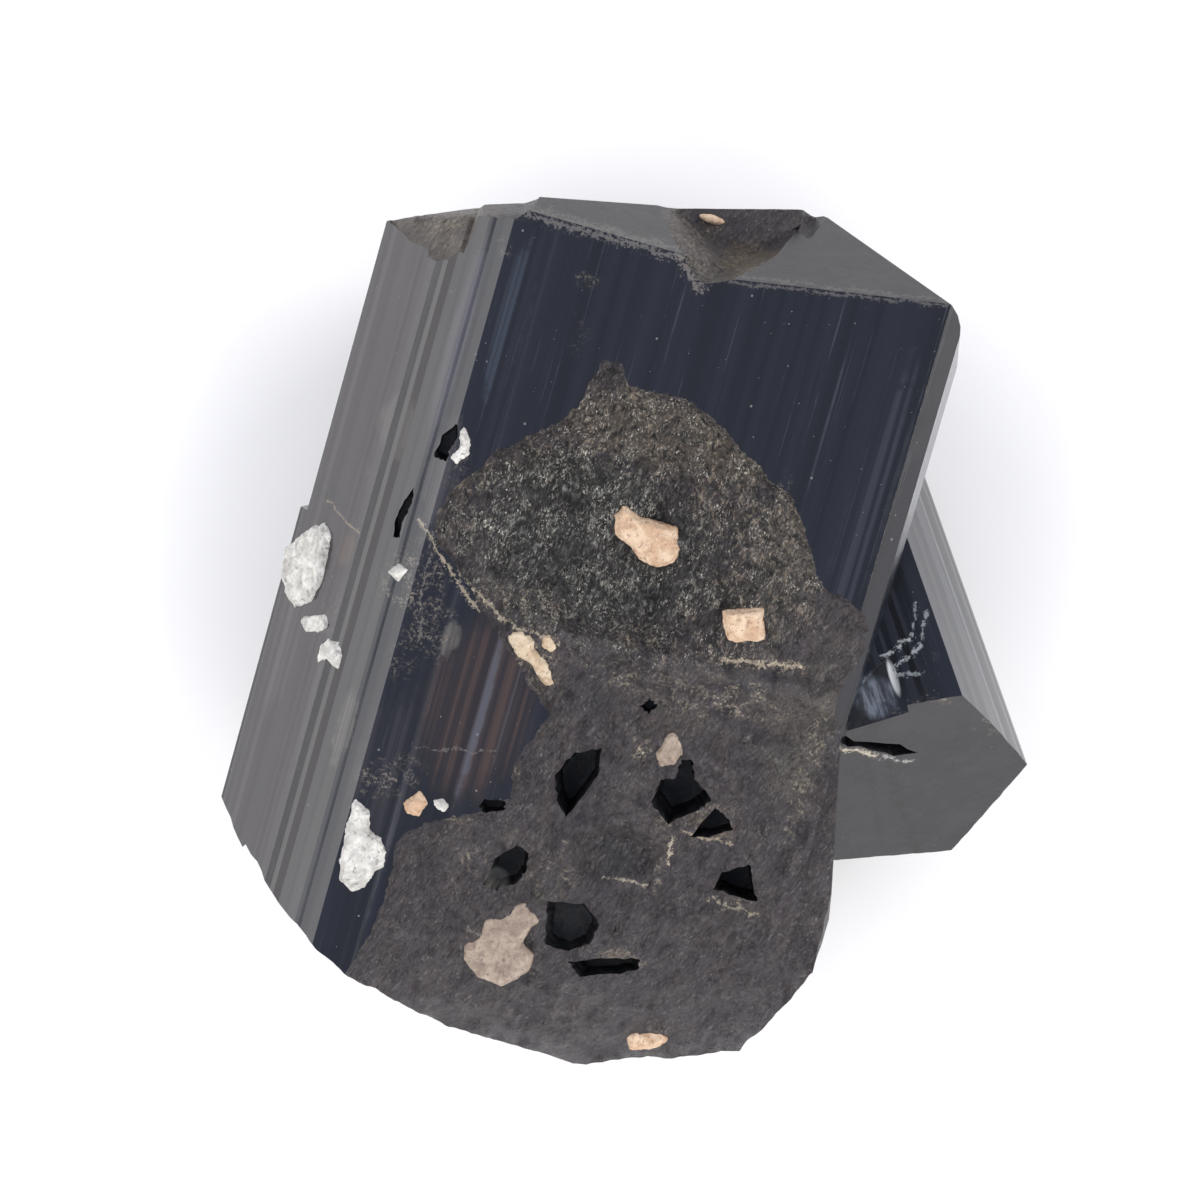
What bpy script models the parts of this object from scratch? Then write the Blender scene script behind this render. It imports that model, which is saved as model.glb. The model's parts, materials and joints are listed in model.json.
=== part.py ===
"""Black tourmaline crystal group, lying on its flat broken back with the largest face up.

One stubby three-sided prism ends in rhombohedral faces at the top (+Y). Its lower front is broken
away to a fibrous scar and a pitted face, and a second, smaller prism has grown out of its lower
right side. The two crystals are one solid. Feldspar and mica grains sit in sockets of their own.
"""
import math
import random

import bmesh
import bpy
from mathutils import Matrix, Vector, noise
from mathutils.geometry import delaunay_2d_cdt

# All sizes are in millimetres until the nodes are finished.
MM = 0.001
FIT = 0.3                      # clearance between a grain and its socket
WELD = 0.012                   # points closer than this are one point
SEED = 7

# Main crystal's own frame: u across its front face, a along its length, w out of the front face.
LEAN = math.radians(15.9)      # length axis turned clockwise from +Y
PITCH = math.radians(8.0)      # top end lifted off the table
FRONT = Vector((1.93, 0.0, 34.0))
AXIS = Vector((math.sin(LEAN) * math.cos(PITCH), math.cos(LEAN) * math.cos(PITCH), math.sin(PITCH)))
OUT = Vector((-math.sin(LEAN) * math.sin(PITCH), -math.cos(LEAN) * math.sin(PITCH), math.cos(PITCH)))
ACROSS = AXIS.cross(OUT)
CENTRE_SHIFT = Vector((-2.1, 4.08, 0.0))   # puts the group's outline around the origin

# Main crystal, across its length: (u, w) corners, front face first.
SECTION = [(-17.4, 0), (19.5, 0), (21, -1), (22.3, -14), (20, -26), (12, -42), (-20, -42),
           (-22, -34), (-27.5, -22), (-29.1, -12.5), (-21.2, -0.8), (-19.4, -0.25)]
LEFT_CORNER, LEFT_EDGE = (-29.1, -12.5), (-21.2, -0.8)
STRIP_WIDTH = (0.7, 2.4)       # growth strips along the prism faces
STRIP_RELIEF = 0.16
STRIP_RAMP = 0.14
LENGTH_SPAN = (-60.0, 48.0)

# Top faces as a = c + ku*u + kw*w.
R1_FACE = (28.2, 0.165, -0.50)
R2_FACE = (41.4, -0.513, 0.209)
R3_FACE = (36.0, 0.30, 0.27)
LEFT_CAP = (29.3, 0.0, -0.45)
CAP_EDGE = ((-0.8, 27.5), (-6.2, 32.4))     # the left cap ends here, and the top hollow starts
R1_EDGE = ((0.1, 28.3), (6.3, 34.4))        # the front top face ends here
HOLLOW_OUTLINE = [(-0.9, 27.2), (0.3, 28.1), (6.5, 34.25), (14.0, 41.6), (14.0, 44.0), (-13.0, 44.0),
                  (-13.0, 38.35), (-6.35, 32.3)]
CHIP_OUTLINE = [(-31.0, 26.4), (-27.6, 24.2), (-25.1, 22.8), (-21.6, 22.9), (-20.6, 23.7),
                (-20.4, 26.2), (-20.2, 27.4), (-17.1, 28.5), (-17.1, 40.0), (-31.0, 40.0)]

# Lower end: planes seen from above through two points at a height, undercut toward the table.
LOWER_END = [((-33.8, -19.9), (-21.0, -31.3), 18.0), ((-21.3, -31.5), (-11.0, -42.6), 20.0),
             ((-10.6, -42.8), (12.8, -40.7), 14.0), ((12.8, -40.7), (17.7, -32.8), 14.0),
             ((17.7, -32.8), (20.6, -23.0), 14.0)]
UNDERCUT = 0.16

# Rough mass that joins the two crystals: spans across, out and along.
BRIDGE = ((15.0, 25.8), (-26.0, -6.0), (-42.0, -8.0))
BRIDGE_SIDE = (Vector((20.4, -17.0, 24.0)), Vector((1.0, -0.05, 0.0)))   # it ends at this plane

# Side crystal: its own frame and section (us, ws); the end face is steeper than the axis.
SIDE_TURN = math.radians(17.0)
SIDE_PITCH = math.radians(30.0)
SIDE_END_PITCH = math.radians(42.0)
SIDE_END = Vector((26.41, -15.48, 19.0))
SIDE_LENGTH = 46.0
END_CRACK = (Vector((24.3, -13.1, 22.0)), (6.4, 0.9, 5.0))   # middle and size of the open crack
SIDE_SECTION = [(-9.0, 9.7), (-1.4, 9.6), (6.7, 8.1), (8.6, 3.6), (11.0, -3.4), (2.8, -11.8),
                (-7.7, -8.2), (-12.0, -2.0)]

# Broken front: outline (u, a) from the scar's top clockwise, running past the crystal's sides.
SCAR_RIGHT = [(-7.0, 19.2), (-5.5, 19.3), (-4.5, 17.6), (-1.8, 17.7), (0.8, 17.8), (3.8, 16.4),
              (6.4, 14.8), (9.0, 13.3), (11.5, 12.1), (13.5, 9.2), (14.7, 7.3), (16.5, 5.6),
              (19.6, 4.6), (27.0, 3.6)]
BELOW_END = [(30.0, 0.0), (30.0, -56.0), (-15.0, -56.0)]
PITTED_LEFT = [(-14.1, -37.4), (-12.8, -33.2), (-12.6, -30.0), (-12.7, -24.6), (-9.8, -22.4),
               (-7.0, -20.9), (-4.4, -19.0), (-5.0, -16.1), (-3.3, -11.1), (-7.4, -7.4)]
SCAR_LEFT = [(-11.4, -4.0), (-13.2, -2.0), (-16.1, 0.2), (-17.0, 2.2), (-16.5, 4.9), (-15.2, 6.6),
             (-13.4, 9.4), (-10.2, 12.0), (-8.2, 14.3), (-7.6, 16.7)]
BREAK_GRID = 1.35
BREAK_STEP = 0.45

# Pits in the broken front: depth below the surface and outline (u, a).
PITS = [
    (3.4, [(-1.5, -16.4), (-0.4, -14.0), (1.8, -13.0), (2.1, -15.4), (1.2, -18.0), (0.4, -19.8),
           (-0.8, -18.5)]),
    (4.0, [(8.5, -12.1), (9.4, -11.9), (10.1, -13.6), (12.1, -15.0), (11.3, -16.3), (9.0, -18.3),
           (7.0, -16.6), (7.3, -14.4), (8.5, -13.9)]),
    (2.2, [(11.1, -18.8), (12.4, -15.6), (13.4, -16.0), (14.6, -17.1), (12.9, -18.2)]),
    (3.4, [(14.3, -22.9), (14.6, -21.1), (16.7, -19.8), (17.4, -21.3), (18.4, -23.0), (16.6, -23.2)]),
    (2.6, [(-4.5, -24.9), (-2.9, -23.2), (-1.8, -23.7), (-1.5, -25.2), (-2.0, -26.6), (-3.6, -27.9),
           (-4.9, -27.6)]),
    (2.4, [(1.3, -29.6), (0.9, -27.4), (4.1, -27.0), (5.8, -28.5), (5.5, -30.5), (3.9, -31.9),
           (1.7, -31.5)]),
    (2.6, [(4.0, -32.7), (6.6, -31.6), (10.0, -30.8), (10.3, -31.8), (8.7, -32.7), (5.4, -33.8)]),
    (0.9, [(3.9, -8.6), (4.5, -7.7), (5.3, -8.2), (4.7, -9.1)]),
    (1.1, [(1.2, -21.2), (3.3, -19.4), (7.6, -19.5), (9.4, -20.6), (8.9, -23.4), (4.8, -25.0),
           (2.4, -24.0)]),
    (1.1, [(-18.3, 7.4), (-18.3, 9.6), (-17.6, 10.6), (-16.7, 9.2), (-17.0, 7.6)]),
    (0.8, [(-20.3, -0.2), (-20.4, 2.5), (-19.6, 4.2), (-19.0, 2.4), (-19.1, -0.1)]),
    (1.6, [(-7.0, -20.4), (-6.6, -19.6), (-4.9, -19.3), (-4.7, -20.3), (-6.3, -20.9)]),
]

# Grains: name, mineral, outline (u, a), height of the top above the surface, sunk depth.
GRAINS = [
    ("feldspar_1", "feldspar", [(-2.4, 6.4), (-2.0, 7.2), (-0.5, 6.7), (2.6, 6.6), (3.2, 5.1),
                                (3.1, 3.9), (2.1, 3.3), (0.4, 3.6), (-0.8, 4.5), (-1.9, 5.0)], 0.7, 1.6),
    ("feldspar_2", "feldspar", [(8.5, 1.2), (11.5, 2.3), (12.3, -0.1), (9.4, -1.2)], 0.4, 1.6),
    ("feldspar_3", "feldspar", [(-9.0, -5.6), (-7.3, -4.9), (-6.3, -5.6), (-6.2, -6.3), (-4.8, -7.3),
                                (-3.8, -8.6), (-4.4, -8.8), (-6.2, -7.4), (-7.5, -7.2)], 0.15, 1.2),
    ("feldspar_4", "feldspar", [(-5.7, -4.9), (-4.9, -4.3), (-3.7, -4.4), (-3.5, -5.4), (-4.7, -6.0),
                                (-5.5, -5.7)], 0.15, 1.2),
    ("feldspar_5", "feldspar", [(-13.0, -21.9), (-12.1, -20.6), (-11.3, -21.3), (-11.7, -22.5),
                                (-12.6, -22.5)], 0.3, 1.3),
    ("feldspar_6", "feldspar", [(-5.8, -32.3), (-4.9, -31.2), (-2.7, -29.7), (-1.7, -28.5),
                                (-0.3, -27.4), (0.4, -28.1), (0.6, -29.4), (-0.1, -30.5),
                                (-0.5, -31.7), (0.8, -32.6), (0.8, -33.8), (0.0, -34.7),
                                (-1.1, -35.6), (-3.0, -35.4), (-4.6, -34.2)], 0.5, 2.0),
    ("feldspar_7", "feldspar", [(11.2, -39.0), (12.0, -37.9), (14.0, -37.3), (14.3, -38.5),
                                (13.3, -39.4), (11.6, -40.1)], 0.3, 1.6),
    ("feldspar_8", "feldspar", [(6.7, -10.9), (7.1, -10.0), (8.2, -9.9), (8.4, -11.3), (7.9, -12.6),
                                (7.0, -13.0), (6.5, -12.2)], 0.2, 1.2),
    ("mica_1", "mica", [(-17.2, -22.8), (-16.0, -23.5), (-15.4, -25.1), (-14.3, -25.5),
                        (-13.7, -26.4), (-13.6, -27.6), (-14.3, -28.4), (-14.5, -29.7),
                        (-15.4, -30.2), (-16.4, -29.7), (-16.8, -28.2), (-17.0, -26.1)], 0.35, 1.4),
    ("mica_2", "mica", [(-10.9, -20.9), (-10.0, -20.5), (-9.4, -21.0), (-9.5, -21.8), (-10.4, -21.5)],
     0.2, 1.0),
    ("mica_3", "mica", [(-16.9, 10.6), (-16.0, 9.4), (-15.8, 8.2), (-16.6, 7.2), (-17.2, 7.6),
                        (-16.6, 8.6), (-16.9, 9.6)], 0.25, 1.0),
    ("mica_4", "mica", [(-19.6, -3.2), (-19.0, -2.4), (-18.2, -2.6), (-18.7, -3.6)], 0.2, 0.9),
]
# Grains on the left prism face: outline (distance from the front edge, a).
LEFT_GRAINS = [
    ("mica_5", "mica", [(14.2, -5.6), (12.6, -4.4), (11.0, -2.9), (9.1, -2.0), (7.6, -2.6),
                        (7.3, -4.4), (7.1, -6.4), (7.9, -8.4), (10.3, -9.5), (11.9, -9.0),
                        (13.1, -7.4)], 0.5, 1.6),
    ("mica_6", "mica", [(8.7, -10.6), (8.0, -10.0), (6.6, -9.4), (4.8, -8.9), (3.6, -9.6),
                        (4.9, -10.5), (7.2, -11.2)], 0.3, 1.1),
    ("mica_7", "mica", [(4.1, -11.5), (3.2, -10.5), (1.8, -10.4), (1.0, -11.4), (1.0, -12.4),
                        (2.4, -12.3), (4.0, -13.2)], 0.3, 1.1),
]
TOP_GRAIN = ("feldspar_9", "feldspar", (-1.6, 32.4, -7.6), (1.5, 0.7, 0.8))

COLOURS = {
    "tourmaline": ((0.012, 0.012, 0.015, 1.0), 0.22),
    "feldspar": ((0.66, 0.44, 0.31, 1.0), 0.6),
    "mica": ((0.66, 0.63, 0.58, 1.0), 0.45),
}


def at(u, a, w):
    """A point given in the main crystal's own frame."""
    return FRONT + ACROSS * u + AXIS * a + OUT * w


def break_depth(u, a, edge):
    """Depth of the broken front below the front face, edge being the distance to its outline."""
    dish = 2.4 * max(0.0, 1.0 - ((u + 1.0) / 14.0) ** 2 - ((a - 6.5) / 11.0) ** 2)
    slope = 0.35 * max(0.0, -4.0 - a) * min(1.0, max(0.0, (u + 15.0) / 38.0))
    fall = min(1.0, max(0.0, (u + 14.0) / 10.0))
    tail = 0.03 * max(0.0, -28.0 - a) ** 2 * fall
    rough = 0.75 * noise.noise(Vector((u * 0.21, a * 0.16, 3.0)))
    rough += 0.42 * noise.noise(Vector((u * 0.62, a * 0.45, 9.0)))
    grow = 1.0 - math.exp(-edge / 1.6)
    return BREAK_STEP + (0.45 + dish + slope + tail + rough) * grow


def to_outline(point, outline):
    """Distance from a point to the nearest side of an outline."""
    best = 1e9
    for start, end in zip(outline, outline[1:] + outline[:1]):
        start, end = Vector(start), Vector(end)
        side = end - start
        step = min(1.0, max(0.0, (point - start).dot(side) / side.length_squared))
        best = min(best, (point - start - side * step).length)
    return best


def inside(point, outline):
    """True if the point is within the outline."""
    hit = False
    for (x0, y0), (x1, y1) in zip(outline, outline[1:] + outline[:1]):
        if (y0 > point[1]) != (y1 > point[1]):
            if point[0] < (x1 - x0) * (point[1] - y0) / (y1 - y0) + x0:
                hit = not hit
    return hit


def grown(outline, distance):
    """The outline with every side moved out by a distance."""
    area = sum(x0 * y1 - x1 * y0 for (x0, y0), (x1, y1) in zip(outline, outline[1:] + outline[:1]))
    turn = 1.0 if area > 0 else -1.0
    moved = []
    for before, here, after in zip(outline[-1:] + outline[:-1], outline, outline[1:] + outline[:1]):
        first = (Vector(here) - Vector(before)).normalized()
        second = (Vector(after) - Vector(here)).normalized()
        normal = Vector((first.y + second.y, -first.x - second.x)) * turn
        reach = max(0.35, 1.0 + first.dot(second))
        moved.append(tuple(Vector(here) + normal * (distance / reach)))
    return moved


def striated(corners, rng, width, relief):
    """The section's outline with each side broken into growth strips of slightly different height."""
    points = []
    for start, end in zip(corners, corners[1:] + corners[:1]):
        start, end = Vector(start), Vector(end)
        side = end - start
        inward = Vector((side.y, -side.x)).normalized()
        length, along = side.length, 0.0
        points.append(tuple(start))
        while length - along > 2.0 * width[0]:
            strip = min(rng.uniform(*width), length - along)
            drop = rng.uniform(0.15, 1.0) * relief
            for place in (along + STRIP_RAMP, along + strip - STRIP_RAMP):
                points.append(tuple(start + side * (place / length) + inward * drop))
            along += strip
    return points


def new_object(name, mesh_data, collection):
    """A linked object made from a bmesh, its faces turned outward."""
    bmesh.ops.recalc_face_normals(mesh_data, faces=mesh_data.faces[:])
    mesh = bpy.data.meshes.new(name)
    mesh_data.to_mesh(mesh)
    mesh_data.free()
    built = bpy.data.objects.new(name, mesh)
    collection.objects.link(built)
    return built


def cutter_object(name, mesh_data):
    """An object that only cuts and isn't part of the crystal."""
    built = new_object(name, mesh_data, CUTTERS)
    built.hide_render = True
    built.display_type = "WIRE"
    return built


def prism_mesh(points, travel):
    """A closed prism: one face through the points, drawn out along a vector."""
    work = bmesh.new()
    face = work.faces.new([work.verts.new(p) for p in points])
    drawn = bmesh.ops.extrude_face_region(work, geom=[face])
    tips = [item for item in drawn["geom"] if isinstance(item, bmesh.types.BMVert)]
    bmesh.ops.translate(work, vec=travel, verts=tips)
    return work


def trim(work, point, normal):
    """Removes everything beyond a plane and closes the cut."""
    geom = work.verts[:] + work.edges[:] + work.faces[:]
    bmesh.ops.bisect_plane(work, geom=geom, plane_co=point, plane_no=normal, clear_outer=True)
    rim = [edge for edge in work.edges if edge.is_boundary]
    if rim:
        bmesh.ops.holes_fill(work, edges=rim, sides=0)


def trim_lower_end(work):
    """Cuts the lower end along its planes."""
    for (x0, y0), (x1, y1), height in LOWER_END:
        outward = Vector((y1 - y0, x0 - x1, 0)).normalized()
        trim(work, Vector((x0, y0, height)), (outward - Vector((0, 0, UNDERCUT))).normalized())


def with_mesh(target, change):
    """Runs a change on the object's mesh."""
    work = bmesh.new()
    work.from_mesh(target.data)
    change(work)
    work.to_mesh(target.data)
    work.free()


def face_normal(face):
    """Outward normal of a top face given as a = c + ku*u + kw*w."""
    return (AXIS - ACROSS * face[1] - OUT * face[2]).normalized()


def boolean(target, cutter, operation="DIFFERENCE"):
    """Applies a Boolean to the target's mesh."""
    step = target.modifiers.new(cutter.name, "BOOLEAN")
    step.operation = operation
    step.solver = "EXACT"
    step.object = cutter
    graph = bpy.context.evaluated_depsgraph_get()
    result = bpy.data.meshes.new_from_object(target.evaluated_get(graph))
    target.modifiers.remove(step)
    work = bmesh.new()
    work.from_mesh(result)
    bmesh.ops.remove_doubles(work, verts=work.verts[:], dist=WELD)
    work.to_mesh(target.data)
    work.free()
    bpy.data.meshes.remove(result)


def surface_cutter(name, outline, height, spacing, rng, top=14.0):
    """A cutter whose underside is the surface height(u, a, edge distance) within the outline."""
    low_u, high_u = min(p[0] for p in outline), max(p[0] for p in outline)
    low_a, high_a = min(p[1] for p in outline), max(p[1] for p in outline)
    flat = [Vector(p) for p in outline]
    sides = [(i, (i + 1) % len(outline)) for i in range(len(outline))]
    rows = int((high_a - low_a) / (spacing * 0.87)) + 1
    for row in range(rows):
        columns = int((high_u - low_u) / spacing) + 1
        for column in range(columns):
            spot = Vector((low_u + (column + 0.5 * (row % 2)) * spacing + rng.uniform(-0.2, 0.2) * spacing,
                           low_a + row * spacing * 0.87 + rng.uniform(-0.2, 0.2) * spacing))
            if inside(spot, outline) and to_outline(spot, outline) > spacing * 0.45:
                flat.append(spot)
    spots, _edges, faces, _v, _e, _f = delaunay_2d_cdt(flat, sides, [], 1, 1e-6)
    work = bmesh.new()
    lower, upper = [], []
    for spot in spots:
        level = height(spot.x, spot.y, to_outline(spot, outline))
        lower.append(work.verts.new(at(spot.x, spot.y, level)))
        upper.append(None)
    rim_uses = {}
    for face in faces:
        work.faces.new([lower[i] for i in face])
        for i, j in zip(face, face[1:] + face[:1]):
            rim_uses[frozenset((i, j))] = rim_uses.get(frozenset((i, j)), 0) + 1
    rim = [tuple(pair) for pair, uses in rim_uses.items() if uses == 1]
    for i in {index for pair in rim for index in pair}:
        upper[i] = work.verts.new(at(spots[i].x, spots[i].y, top))
    for i, j in rim:
        work.faces.new([lower[i], lower[j], upper[j], upper[i]])
    bmesh.ops.holes_fill(work, edges=[edge for edge in work.edges if edge.is_boundary], sides=0)
    return cutter_object(name, work)


def lump_mesh(outline, place, top, bottom, crown, rng, rough=0.12):
    """A grain: its outline drawn from bottom up to a shoulder, then a smaller uneven crown."""
    work = bmesh.new()
    shoulder = top - crown
    rings = []
    for grow, level, wobble in ((-0.15, bottom, 0.0), (0.0, shoulder, 0.0), (-crown * 0.9, top, rough)):
        ring = []
        for u, a in grown(outline, grow):
            ring.append(work.verts.new(place(u, a, level + rng.uniform(-wobble, wobble))))
        rings.append(ring)
    for lower, upper in zip(rings, rings[1:]):
        for i in range(len(lower)):
            j = (i + 1) % len(lower)
            work.faces.new([lower[i], lower[j], upper[j], upper[i]])
    work.faces.new(rings[0])
    cap = work.faces.new(rings[2])
    bmesh.ops.triangulate(work, faces=[cap])
    return work


def socket_mesh(outline, place, top, bottom):
    """The pocket that a grain sits in, larger by the clearance."""
    points = grown(outline, FIT)
    work = bmesh.new()
    rings = [[work.verts.new(place(u, a, level)) for u, a in points] for level in (bottom - FIT, top + 3.0)]
    for i in range(len(points)):
        j = (i + 1) % len(points)
        work.faces.new([rings[0][i], rings[0][j], rings[1][j], rings[1][i]])
    work.faces.new(rings[0])
    work.faces.new(rings[1])
    return work


def pit_mesh(outline, top, bottom):
    """A tapering pit."""
    middle = sum((Vector(p) for p in outline), Vector((0, 0))) / len(outline)
    work = bmesh.new()
    rings = []
    for level, scale in ((bottom, 0.62), (top, 1.0), (top + 6.0, 1.0)):
        ring = [middle + (Vector(p) - middle) * scale for p in outline]
        rings.append([work.verts.new(at(p.x, p.y, level)) for p in ring])
    for lower, upper in zip(rings, rings[1:]):
        for i in range(len(lower)):
            j = (i + 1) % len(lower)
            work.faces.new([lower[i], lower[j], upper[j], upper[i]])
    work.faces.new(rings[0])
    work.faces.new(rings[2])
    return work


def surface_level(outline):
    """Mean height of the broken or whole front face under an outline."""
    levels = []
    for u, a in outline:
        if inside((u, a), BREAK_OUTLINE):
            levels.append(-break_depth(u, a, to_outline(Vector((u, a)), BREAK_OUTLINE)))
        else:
            levels.append(-0.1)
    return sum(levels) / len(levels)


def left_place(s, a, level):
    """A point on the left prism face: s back from the front edge, level above the face."""
    edge, corner = Vector(LEFT_EDGE), Vector(LEFT_CORNER)
    back = (corner - edge).normalized()
    outward = Vector((back.y, -back.x))
    spot = edge + back * s + outward * level
    return at(spot.x, a, spot.y)


def main_crystal():
    """The large prism with its top faces, lower end and left growth step."""
    rng = random.Random(SEED)
    outline = striated(SECTION, rng, STRIP_WIDTH, STRIP_RELIEF)
    low, high = LENGTH_SPAN
    work = prism_mesh([at(u, low, w) for u, w in outline], AXIS * (high - low))
    for face in (R2_FACE, R3_FACE):
        trim(work, at(0, face[0], 0), face_normal(face))
    trim(work, at(20.6, 31.0, 0), (AXIS * 0.7 + ACROSS * 0.7 + OUT * 0.1).normalized())
    body = new_object("tourmaline", work, PARTS)
    boolean(body, bridge(), "UNION")
    with_mesh(body, trim_lower_end)

    for name, face, (low, high), side in (("front_top", R1_FACE, R1_EDGE, 1.0),
                                          ("left_cap", LEFT_CAP, CAP_EDGE, -1.0)):
        run = (Vector(high) - Vector(low)).normalized()
        block = bmesh.new()
        bmesh.ops.create_cube(block, size=160.0)
        trim(block, at(0, face[0], 0), -face_normal(face))
        trim(block, at(low[0], low[1], 0), (ACROSS * run.y - AXIS * run.x) * -side)
        boolean(body, cutter_object(name, block))

    step = bmesh.new()
    bmesh.ops.create_cube(step, size=80.0)
    bmesh.ops.translate(step, vec=(-40.0 - 28.4, 40.0 - 1.6, 0.0), verts=step.verts)
    frame = Matrix((ACROSS, AXIS, OUT)).transposed().to_4x4()
    bmesh.ops.transform(step, matrix=Matrix.Translation(FRONT) @ frame, verts=step.verts)
    boolean(body, cutter_object("left_step", step))
    return body


def side_crystal():
    """The smaller prism, its end face toward the lower right."""
    rng = random.Random(SEED + 1)
    along = Vector((math.sin(SIDE_TURN) * math.cos(SIDE_PITCH),
                    -math.cos(SIDE_TURN) * math.cos(SIDE_PITCH), math.sin(SIDE_PITCH)))
    across = Vector((math.cos(SIDE_TURN), math.sin(SIDE_TURN), 0.0))
    out = along.cross(across)
    end_normal = Vector((math.sin(SIDE_TURN) * math.cos(SIDE_END_PITCH),
                         -math.cos(SIDE_TURN) * math.cos(SIDE_END_PITCH), math.sin(SIDE_END_PITCH)))
    outline = striated(SIDE_SECTION[::-1], rng, (0.9, 2.2), 0.12)
    start = SIDE_END - along * SIDE_LENGTH
    work = prism_mesh([start + across * u + out * w for u, w in outline], along * (SIDE_LENGTH + 20.0))
    trim(work, SIDE_END, end_normal)
    crystal = cutter_object("side_crystal", work)
    middle, size = END_CRACK
    crack = bmesh.new()
    bmesh.ops.create_cube(crack, size=1.0)
    level = Vector((0.0, 1.0, 0.0)).cross(end_normal).normalized()
    turn = Matrix((level, end_normal.cross(level), end_normal)).transposed().to_4x4()
    bmesh.ops.transform(crack, matrix=Matrix.Translation(middle) @ turn @ Matrix.Diagonal(size + (1.0,)),
                        verts=crack.verts)
    boolean(crystal, cutter_object("end_crack", crack))
    return crystal


def bridge():
    """The rough mass between the crystals, as long as the broken front."""
    (u0, u1), (w0, w1), (a0, a1) = BRIDGE
    corners = [(u0, w0), (u1 - 4.0, w0), (u1, w0 + 8.0), (u1, w1 - 6.0), (u1 - 1.5, w1 - 1.0), (u0, w1)]
    work = prism_mesh([at(u, a0, w) for u, w in corners], AXIS * (a1 - a0))
    trim(work, *BRIDGE_SIDE)
    return cutter_object("bridge", work)


def chip_level(u, a, _edge):
    """Surface of the chip at the top left corner, falling away behind the prism faces' edge."""
    face = -1.48 * max(0.0, -21.2 - u) - 0.25
    start = 23.0 + 0.12 * abs(u + 23.0) if u < -20.4 else 27.4 + 0.35 * (u + 20.4)
    crest = 27.4 + (0.36 if u < -21.0 else 0.33) * (u + 21.0)
    rough = 0.45 * noise.noise(Vector((u * 0.7, a * 0.7, 21.0)))
    return face - 0.85 * max(0.0, a - start) - 5.0 * max(0.0, a - crest) + rough


def hollow_level(u, a, _edge):
    """Surface of the hollow between the two top faces: floor, smooth back wall and left bank."""
    floor = -min(2.1 * (a - 27.4), 7.5 + 0.4 * (a - 31.0))
    low, high = (Vector(p) for p in CAP_EDGE)
    run = (high - low).normalized()
    bank = (Vector((u, a)) - low).dot(Vector((run.y, -run.x)))
    cap = min(0.0, (LEFT_CAP[0] - a) / -LEFT_CAP[2])
    rough = 0.5 * noise.noise(Vector((u * 0.8, a * 0.8, 31.0))) * (1.0 if a < 31.2 else 0.25)
    return max(floor, cap - 0.3 - 1.7 * max(0.0, bank)) + rough


def cut_top(body):
    """Chip at the top left corner and the hollow between the top faces."""
    rng = random.Random(SEED + 2)
    boolean(body, surface_cutter("top_left_chip", CHIP_OUTLINE, chip_level, 0.8, rng))
    boolean(body, surface_cutter("top_hollow", HOLLOW_OUTLINE, hollow_level, 0.9, rng))


def add_grain(body, name, mineral, outline, place, level, rise, sunk, rng):
    """Cuts a grain's socket and places the grain in it."""
    top, bottom = level + rise, level - sunk
    boolean(body, cutter_object(name + "_socket", socket_mesh(outline, place, top, bottom)))
    crown = min(0.35, 0.5 * (top - bottom))
    grain = new_object(name, lump_mesh(outline, place, top, bottom, crown, rng), PARTS)
    grain["mineral"] = mineral
    return grain


def finish(node, mineral):
    """Turns the node into clean triangles in metres, placed on the table, with its colour."""
    work = bmesh.new()
    work.from_mesh(node.data)
    bmesh.ops.remove_doubles(work, verts=work.verts[:], dist=WELD)
    bmesh.ops.triangulate(work, faces=work.faces[:], ngon_method="EAR_CLIP")
    bmesh.ops.translate(work, vec=CENTRE_SHIFT, verts=work.verts)
    bmesh.ops.scale(work, vec=(MM, MM, MM), verts=work.verts)
    bmesh.ops.recalc_face_normals(work, faces=work.faces[:])
    work.to_mesh(node.data)
    work.free()
    node.data.update()
    colour, rough = COLOURS[mineral]
    material = bpy.data.materials.get(mineral) or bpy.data.materials.new(mineral)
    material.use_nodes = True
    shader = material.node_tree.nodes["Principled BSDF"]
    shader.inputs["Base Color"].default_value = colour
    shader.inputs["Roughness"].default_value = rough
    node.data.materials.clear()
    node.data.materials.append(material)


def build():
    """Builds the crystals, breaks and pits them, and sets the grains."""
    body = main_crystal()
    rng = random.Random(SEED + 3)
    boolean(body, surface_cutter("broken_front", BREAK_OUTLINE,
                                 lambda u, a, edge: -break_depth(u, a, edge), BREAK_GRID, rng))
    boolean(body, side_crystal(), "UNION")
    cut_top(body)

    with_mesh(body, lambda work: trim(work, Vector((0, 0, 0)), Vector((0, 0, -1))))

    for index, (depth, outline) in enumerate(PITS):
        level = surface_level(outline)
        boolean(body, cutter_object("pit_%d" % (index + 1), pit_mesh(outline, level + 0.3, level - depth)))
    rng = random.Random(SEED + 4)
    for name, mineral, outline, rise, sunk in GRAINS:
        add_grain(body, name, mineral, outline, at, surface_level(outline), rise, sunk, rng)
    for name, mineral, outline, rise, sunk in LEFT_GRAINS:
        add_grain(body, name, mineral, outline, left_place, -0.1, rise, sunk, rng)

    name, mineral, middle, radii = TOP_GRAIN
    place = Matrix.Translation(at(*middle)) @ Matrix((ACROSS, AXIS, OUT)).transposed().to_4x4()
    for suffix, extra in (("_socket", FIT), ("", 0.0)):
        work = bmesh.new()
        bmesh.ops.create_icosphere(work, subdivisions=2, radius=1.0)
        size = Matrix.Diagonal([radius + extra for radius in radii] + [1.0])
        bmesh.ops.transform(work, matrix=place @ size, verts=work.verts)
        if suffix:
            boolean(body, cutter_object(name + suffix, work))
        else:
            new_object(name, work, PARTS)["mineral"] = mineral

    for node in list(PARTS.objects):
        finish(node, node.get("mineral", "tourmaline"))
    bpy.context.view_layer.update()


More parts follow.
